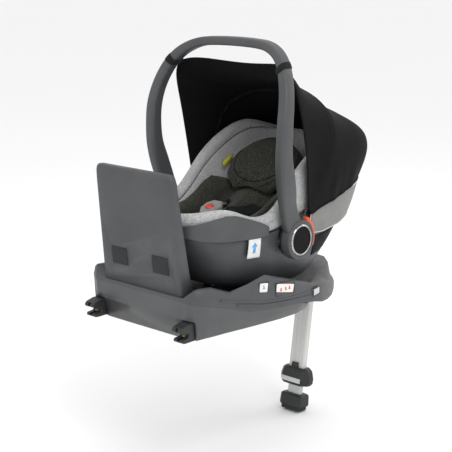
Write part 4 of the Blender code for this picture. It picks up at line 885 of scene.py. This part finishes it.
if sum(f.normal.dot(f.calc_center_median() - c) * f.calc_area() for f in bm.faces) < 0:
    bmesh.ops.reverse_faces(bm, faces=bm.faces)
canopy = obj_from("canopy_sheet", bm, CANOPY)
subdiv(canopy, 3)
apply_all(canopy)
# the cloth is drawn in a little between the hoop and its two hems
me = canopy.data
me.update()
co = np.array([v.co for v in me.vertices])
no = np.array([v.normal for v in me.vertices])
hoop = np.interp(co[:, 2], [.24, .30, .38, .50, .60], [.100, .130, .175, .177, .178])
front = np.interp(co[:, 2], [.23, .39, .475, .56, .60], [.086, .062, .044, .045, .06])
gap = np.clip((co[:, 1] - front) / np.maximum(hoop - front, .01), 0, 1)
sag = np.sin(np.pi * gap) * np.clip((co[:, 2] - .27) / .08, 0, 1) * .0045
back = np.clip((co[:, 1] - hoop) / .13, 0, 1)
sag += np.sin(np.pi * back) * np.clip((co[:, 2] - .33) / .07, 0, 1) * .0030
# slack folds near the lower hem and at the head end
ang = np.arctan2(co[:, 0], co[:, 1] - .12)
low = np.clip((.345 - co[:, 2]) / .07, 0, 1) * np.clip((co[:, 1] - .13) / .08, 0, 1)
fold = low * (.0014 * np.sin(ang * 17 + co[:, 2] * 22) + .0009 * np.sin(ang * 31 + 1.3))
co = co - no * sag[:, None] + no * fold[:, None]
me.vertices.foreach_set("co", co.astype(np.float32).ravel())
me.update()
# boundary: front hem and lower hem
bm = bmesh.new()
bm.from_mesh(me)
bm.verts.ensure_lookup_table()
edges = [e for e in bm.edges if e.is_boundary]
nxt = {}
for e in edges:
    for a, b in ((e.verts[0], e.verts[1]), (e.verts[1], e.verts[0])):
        nxt.setdefault(a.index, []).append(b.index)
start = max(nxt, key=lambda i: bm.verts[i].co.z if abs(bm.verts[i].co.x) < .002 else -1)
loop, prev, cur = [start], None, start
while True:
    opts = [i for i in nxt[cur] if i != prev]
    prev, cur = cur, opts[0]
    if cur == start:
        break
    loop.append(cur)
hem = [bm.verts[i].co.copy() for i in loop]
bm.free()
m = canopy.modifiers.new("thickness", "SOLIDIFY")
m.thickness, m.offset = .0012, -1
apply_all(canopy)
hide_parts("canopy_fabric")
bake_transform(canopy)
CANOPY_FAR = None
hems = tube("canopy_hem", hem, .0021, CANOPY, closed=True, sides=2)
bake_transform(hems)
canopy_tree = tree_of(canopy)

# hoop in its sewn tunnel, with a row of stitches each side
BOW = [(.1732, .0640, .2096), (.1735, .0860, .2370), (.1750, .1100, .2700), (.1785, .1350, .3050),
       (.1815, .1560, .3450), (.1800, .1680, .3830), (.1700, .1730, .4200), (.1450, .1750, .4500),
       (.1060, .1760, .4730), (.0560, .1765, .4890), (0, .1770, .4940)]
path = BOW + [(-x, y, z) for x, y, z in reversed(BOW[:-1])]
tunnel = tube("canopy_bow_tunnel", smooth_path(path, 90)[6:-6], .0036, CANOPY, sides=3)
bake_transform(tunnel)
bow = NODES["canopy_bow"]
hoop_copy = node_copy("canopy_hoop", "canopy_bow", DARK)
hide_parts("canopy_bow")
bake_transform(hoop_copy)
for side, dy in (("front", -.010), ("back", .010)):
    pts = []
    for p in smooth_path(path, 120)[30:-30]:
        q, n, _, _ = canopy_tree.find_nearest(p + Vector((p.x * .1, dy, .02)))
        pts.append(q + n * .0002)
    line = tube(f"canopy_tunnel_seam_{side}", pts, .0006, THREAD_DARK, sides=2)
    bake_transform(line)

# loops on the handle
for side in ("left", "right"):
    band = node_copy(f"canopy_loop_band_{side}", f"canopy_loop_{side}", PAD_BLACK)
    subdiv(band, 2)
    apply_all(band)
    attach(band, "handle")
    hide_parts(f"canopy_loop_{side}")


# ------------------------------------------------------------------ small sewn and printed things
def face_frame(node, want):
    """Centre, right, up, normal, width and height of a node's largest flat face towards want."""
    me = NODES[node].data
    want = Vector(want).normalized()
    big = max(me.polygons, key=lambda p: p.area * max(p.normal.dot(want), 0) ** 4)
    n = big.normal.copy().normalized()
    up = (Vector((0, 0, 1)) - n * n.z).normalized()
    right = up.cross(n)
    vs = [v.co for v in me.vertices]
    d = max(v.dot(n) for v in vs)
    pr = [v.dot(right) for v in vs if v.dot(n) > d - .0006]
    pu = [v.dot(up) for v in vs if v.dot(n) > d - .0006]
    c = right * (max(pr) + min(pr)) / 2 + up * (max(pu) + min(pu)) / 2 + n * d
    return c, right, up, n, max(pr) - min(pr), max(pu) - min(pu)


def flat_shape(name, outline, fr, mat, body, lift=.0002, thick=.0003):
    """A thin raised outline on a face: outline in metres, right and up."""
    c, r, u, n = fr[:4]
    bm = bmesh.new()
    lo = [bm.verts.new(c + r * x + u * y + n * lift) for x, y in outline]
    hi = [bm.verts.new(c + r * x + u * y + n * (lift + thick)) for x, y in outline]
    k = len(outline)
    bm.faces.new(hi)
    bm.faces.new(lo[::-1])
    for i in range(k):
        bm.faces.new([lo[i], lo[(i + 1) % k], hi[(i + 1) % k], hi[i]])
    bmesh.ops.recalc_face_normals(bm, faces=bm.faces)
    ob = obj_from(name, bm, mat, False)
    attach(ob, body)
    return ob


def bezel(name, fr, w, h, t, mat, body, depth=.0009):
    """A rounded rectangular surround proud of a face."""
    c, r, u, n = fr[:4]

    def rr(w, h, rad):
        out = []
        for qx, qy, a0 in ((1, -1, -90), (1, 1, 0), (-1, 1, 90), (-1, -1, 180)):
            for i in range(5):
                a = math.radians(a0 + 22.5 * i)
                out.append((qx * (w / 2 - rad) + rad * math.cos(a), qy * (h / 2 - rad) + rad * math.sin(a)))
        return out
    rings = [(rr(w, h, .0012), -.0008), (rr(w, h, .0012), depth * .8), (rr(w + .0006, h + .0006, .0014), depth),
             (rr(w + 2 * t - .0006, h + 2 * t - .0006, .0020), depth), (rr(w + 2 * t, h + 2 * t, .0022), depth * .6),
             (rr(w + 2 * t, h + 2 * t, .0022), -.0008)]
    bm = bmesh.new()
    vs = [[bm.verts.new(c + r * x + u * y + n * z) for x, y in ring] for ring, z in rings]
    k = len(vs[0])
    for a, b in zip(vs, vs[1:] + vs[:1]):
        for i in range(k):
            bm.faces.new([a[i], a[(i + 1) % k], b[(i + 1) % k], b[i]])
    bmesh.ops.recalc_face_normals(bm, faces=bm.faces)
    ob = obj_from(name, bm, mat)
    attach(ob, body)
    return ob


SEAT_ICON = [(-.0030, -.0035), (.0032, -.0035), (.0026, -.0014), (.0010, .0004), (.0016, .0018), (.0010, .0032),
             (-.0006, .0036), (-.0018, .0026), (-.0018, .0012), (-.0008, .0002), (-.0022, -.0014)]
fr1 = face_frame("indicator_window_single", (1, 0, 0))
fr3 = face_frame("indicator_window_triple", (1, 0, 0))
frb = face_frame("carrier_release_button", (1, .2, 0))
bezel("release_button_surround", frb, frb[4] + .0016, frb[5] + .0016, .0022, FRAME_DARK, "base", .0002)
for nm, fr in (("single", fr1), ("triple", fr3)):
    bezel(f"window_surround_{nm}", fr, fr[4] - .0010, fr[5] - .0010, .0016, FRAME_DARK, "base", .0005)
flat_shape("window_icon_0", [(x * 1.25, y * 1.25 + .0012) for x, y in SEAT_ICON], fr1, BLUE, "base")
for k, dx in enumerate((-.0135, .0015, .0135)):
    flat_shape(f"window_icon_{k + 1}", [(x * 1.1 + dx, y * 1.1 - .0008) for x, y in SEAT_ICON], fr3, RED_PRINT, "base")

# folded tab between shell and trim, with a plain arrow
TAB = [Vector((.1640, -.1085, .2010)), Vector((.1672, -.0715, .1995)), Vector((.1580, -.0672, .1530)),
       Vector((.1545, -.1060, .1555))]
bm = bmesh.new()
rows = []
for i in range(13):
    f = i / 12
    a, b = TAB[0].lerp(TAB[3], f), TAB[1].lerp(TAB[2], f)
    rows.append([a.lerp(b, j / 8) + Vector((.0030 + .0016 * math.sin(f * 2.4) + .0006 * math.sin(j * .8), 0, 0))
                 for j in range(9)])
vs = [[bm.verts.new(p) for p in r] for r in rows]
for a, b in zip(vs, vs[1:]):
    for j in range(8):
        bm.faces.new([a[j], a[j + 1], b[j + 1], b[j]])
bmesh.ops.recalc_face_normals(bm, faces=bm.faces)
tab = obj_from("side_tab", bm, TAG_WHITE)
m = tab.modifiers.new("thickness", "SOLIDIFY")
m.thickness, m.offset = .0008, 0
apply_all(tab)
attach(tab, "carrier")
tw, th = (TAB[1] - TAB[0]).length, (TAB[3] - TAB[0]).length
tab_tree = tree_of(tab)
ARROW = [(0, .75), (.46, .22), (.20, .22), (.20, -.62), (0, -.46), (-.20, -.62), (-.20, .22), (-.46, .22)]
ac = sum(TAB, Vector()) / 4
ar, au = (TAB[1] - TAB[0]).normalized(), (TAB[0] - TAB[3]).normalized()
an = ar.cross(au).normalized()
bm = bmesh.new()
pts = []
for x, y in ARROW:
    p = ac + ar * x * .0200 + au * y * .0200
    q, n, _, _ = tab_tree.ray_cast(p + Vector((.05, 0, 0)), Vector((-1, 0, 0)))
    pts.append((q if q is not None else p) + Vector((.0004, 0, 0)))
bm.faces.new([bm.verts.new(p) for p in pts])
bmesh.ops.triangulate(bm, faces=bm.faces)
arrow = obj_from("side_tab_arrow", bm, BLUE, False)
m = arrow.modifiers.new("thickness", "SOLIDIFY")
m.thickness, m.offset = .0003, 0
apply_all(arrow)
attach(arrow, "carrier")

# plain sewn tag by the pillow
TAGY = [Vector((-.1175, .1110, .3120)), Vector((-.1150, .1480, .3320)), Vector((-.1140, .1450, .3150)),
        Vector((-.1165, .1160, .2990))]
bm = bmesh.new()
bm.faces.new([bm.verts.new(p + Vector((.0060, 0, 0))) for p in TAGY])
tag = obj_from("sewn_tag", bm, TAG_YELLOW, False)
subdiv(tag, 0)
m = tag.modifiers.new("thickness", "SOLIDIFY")
m.thickness, m.offset = .0008, 0
apply_all(tag)
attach(tag, "carrier")

# ------------------------------------------------------------------ camera, floor, light
cam_data = bpy.data.cameras.new("camera")
cam_data.lens, cam_data.sensor_width = 95.81, 36.0
cam = bpy.data.objects.new("camera", cam_data)
scene.collection.objects.link(cam)
a, e = math.radians(42.2), math.radians(13.4)
back = Vector((math.sin(a) * math.cos(e), -math.cos(a) * math.cos(e), math.sin(e)))
cam.location = Vector((0, 0, .187)) + back * 2.85
cam.rotation_mode = "QUATERNION"
cam.rotation_quaternion = (-back).to_track_quat("-Z", "Y")
cam_data.clip_start, cam_data.clip_end = .05, 200
scene.camera = cam

floor_bm = bmesh.new()
bmesh.ops.create_grid(floor_bm, x_segments=2, y_segments=2, size=45)
for v in floor_bm.verts:
    v.co.z = -.3565
FLOOR_MAT, fnt, fb = new_mat("studio_floor", (.95, .95, .95), .95, spec=.05)
fnt.links.new(ramp(fnt, noise(fnt, coords(fnt), .3, 2), [(.3, .945), (.7, .955)]), fb.inputs["Base Color"])
floor = obj_from("studio_floor", floor_bm, FLOOR_MAT, False)


def area_light(name, loc, target, size, power, color=(1, 1, 1)):
    d = bpy.data.lights.new(name, "AREA")
    d.shape = "RECTANGLE"
    d.size, d.size_y = size
    d.energy = power
    d.color = color
    o = bpy.data.objects.new(name, d)
    scene.collection.objects.link(o)
    o.location = loc
    o.rotation_mode = "QUATERNION"
    o.rotation_quaternion = (Vector(target) - Vector(loc)).to_track_quat("-Z", "Y")
    return o


area_light("key", (2.4, -1.2, 2.7), (0, 0, .2), (1.5, 1.5), 40)
area_light("fill", (-1.6, -2.8, 1.4), (0, 0, .2), (2.2, 1.8), 5)
area_light("top", (0, .6, 3.2), (0, .05, .2), (2.4, 2.4), 12)
area_light("rim", (1.0, 2.8, 1.6), (0, .1, .3), (1.6, 1.6), 12)
world = bpy.data.worlds.new("studio")
world.use_nodes = True
world.node_tree.nodes["Background"].inputs["Color"].default_value = (1, 1, 1, 1)
world.node_tree.nodes["Background"].inputs["Strength"].default_value = .96
scene.world = world
scene.view_settings.view_transform = "Standard"
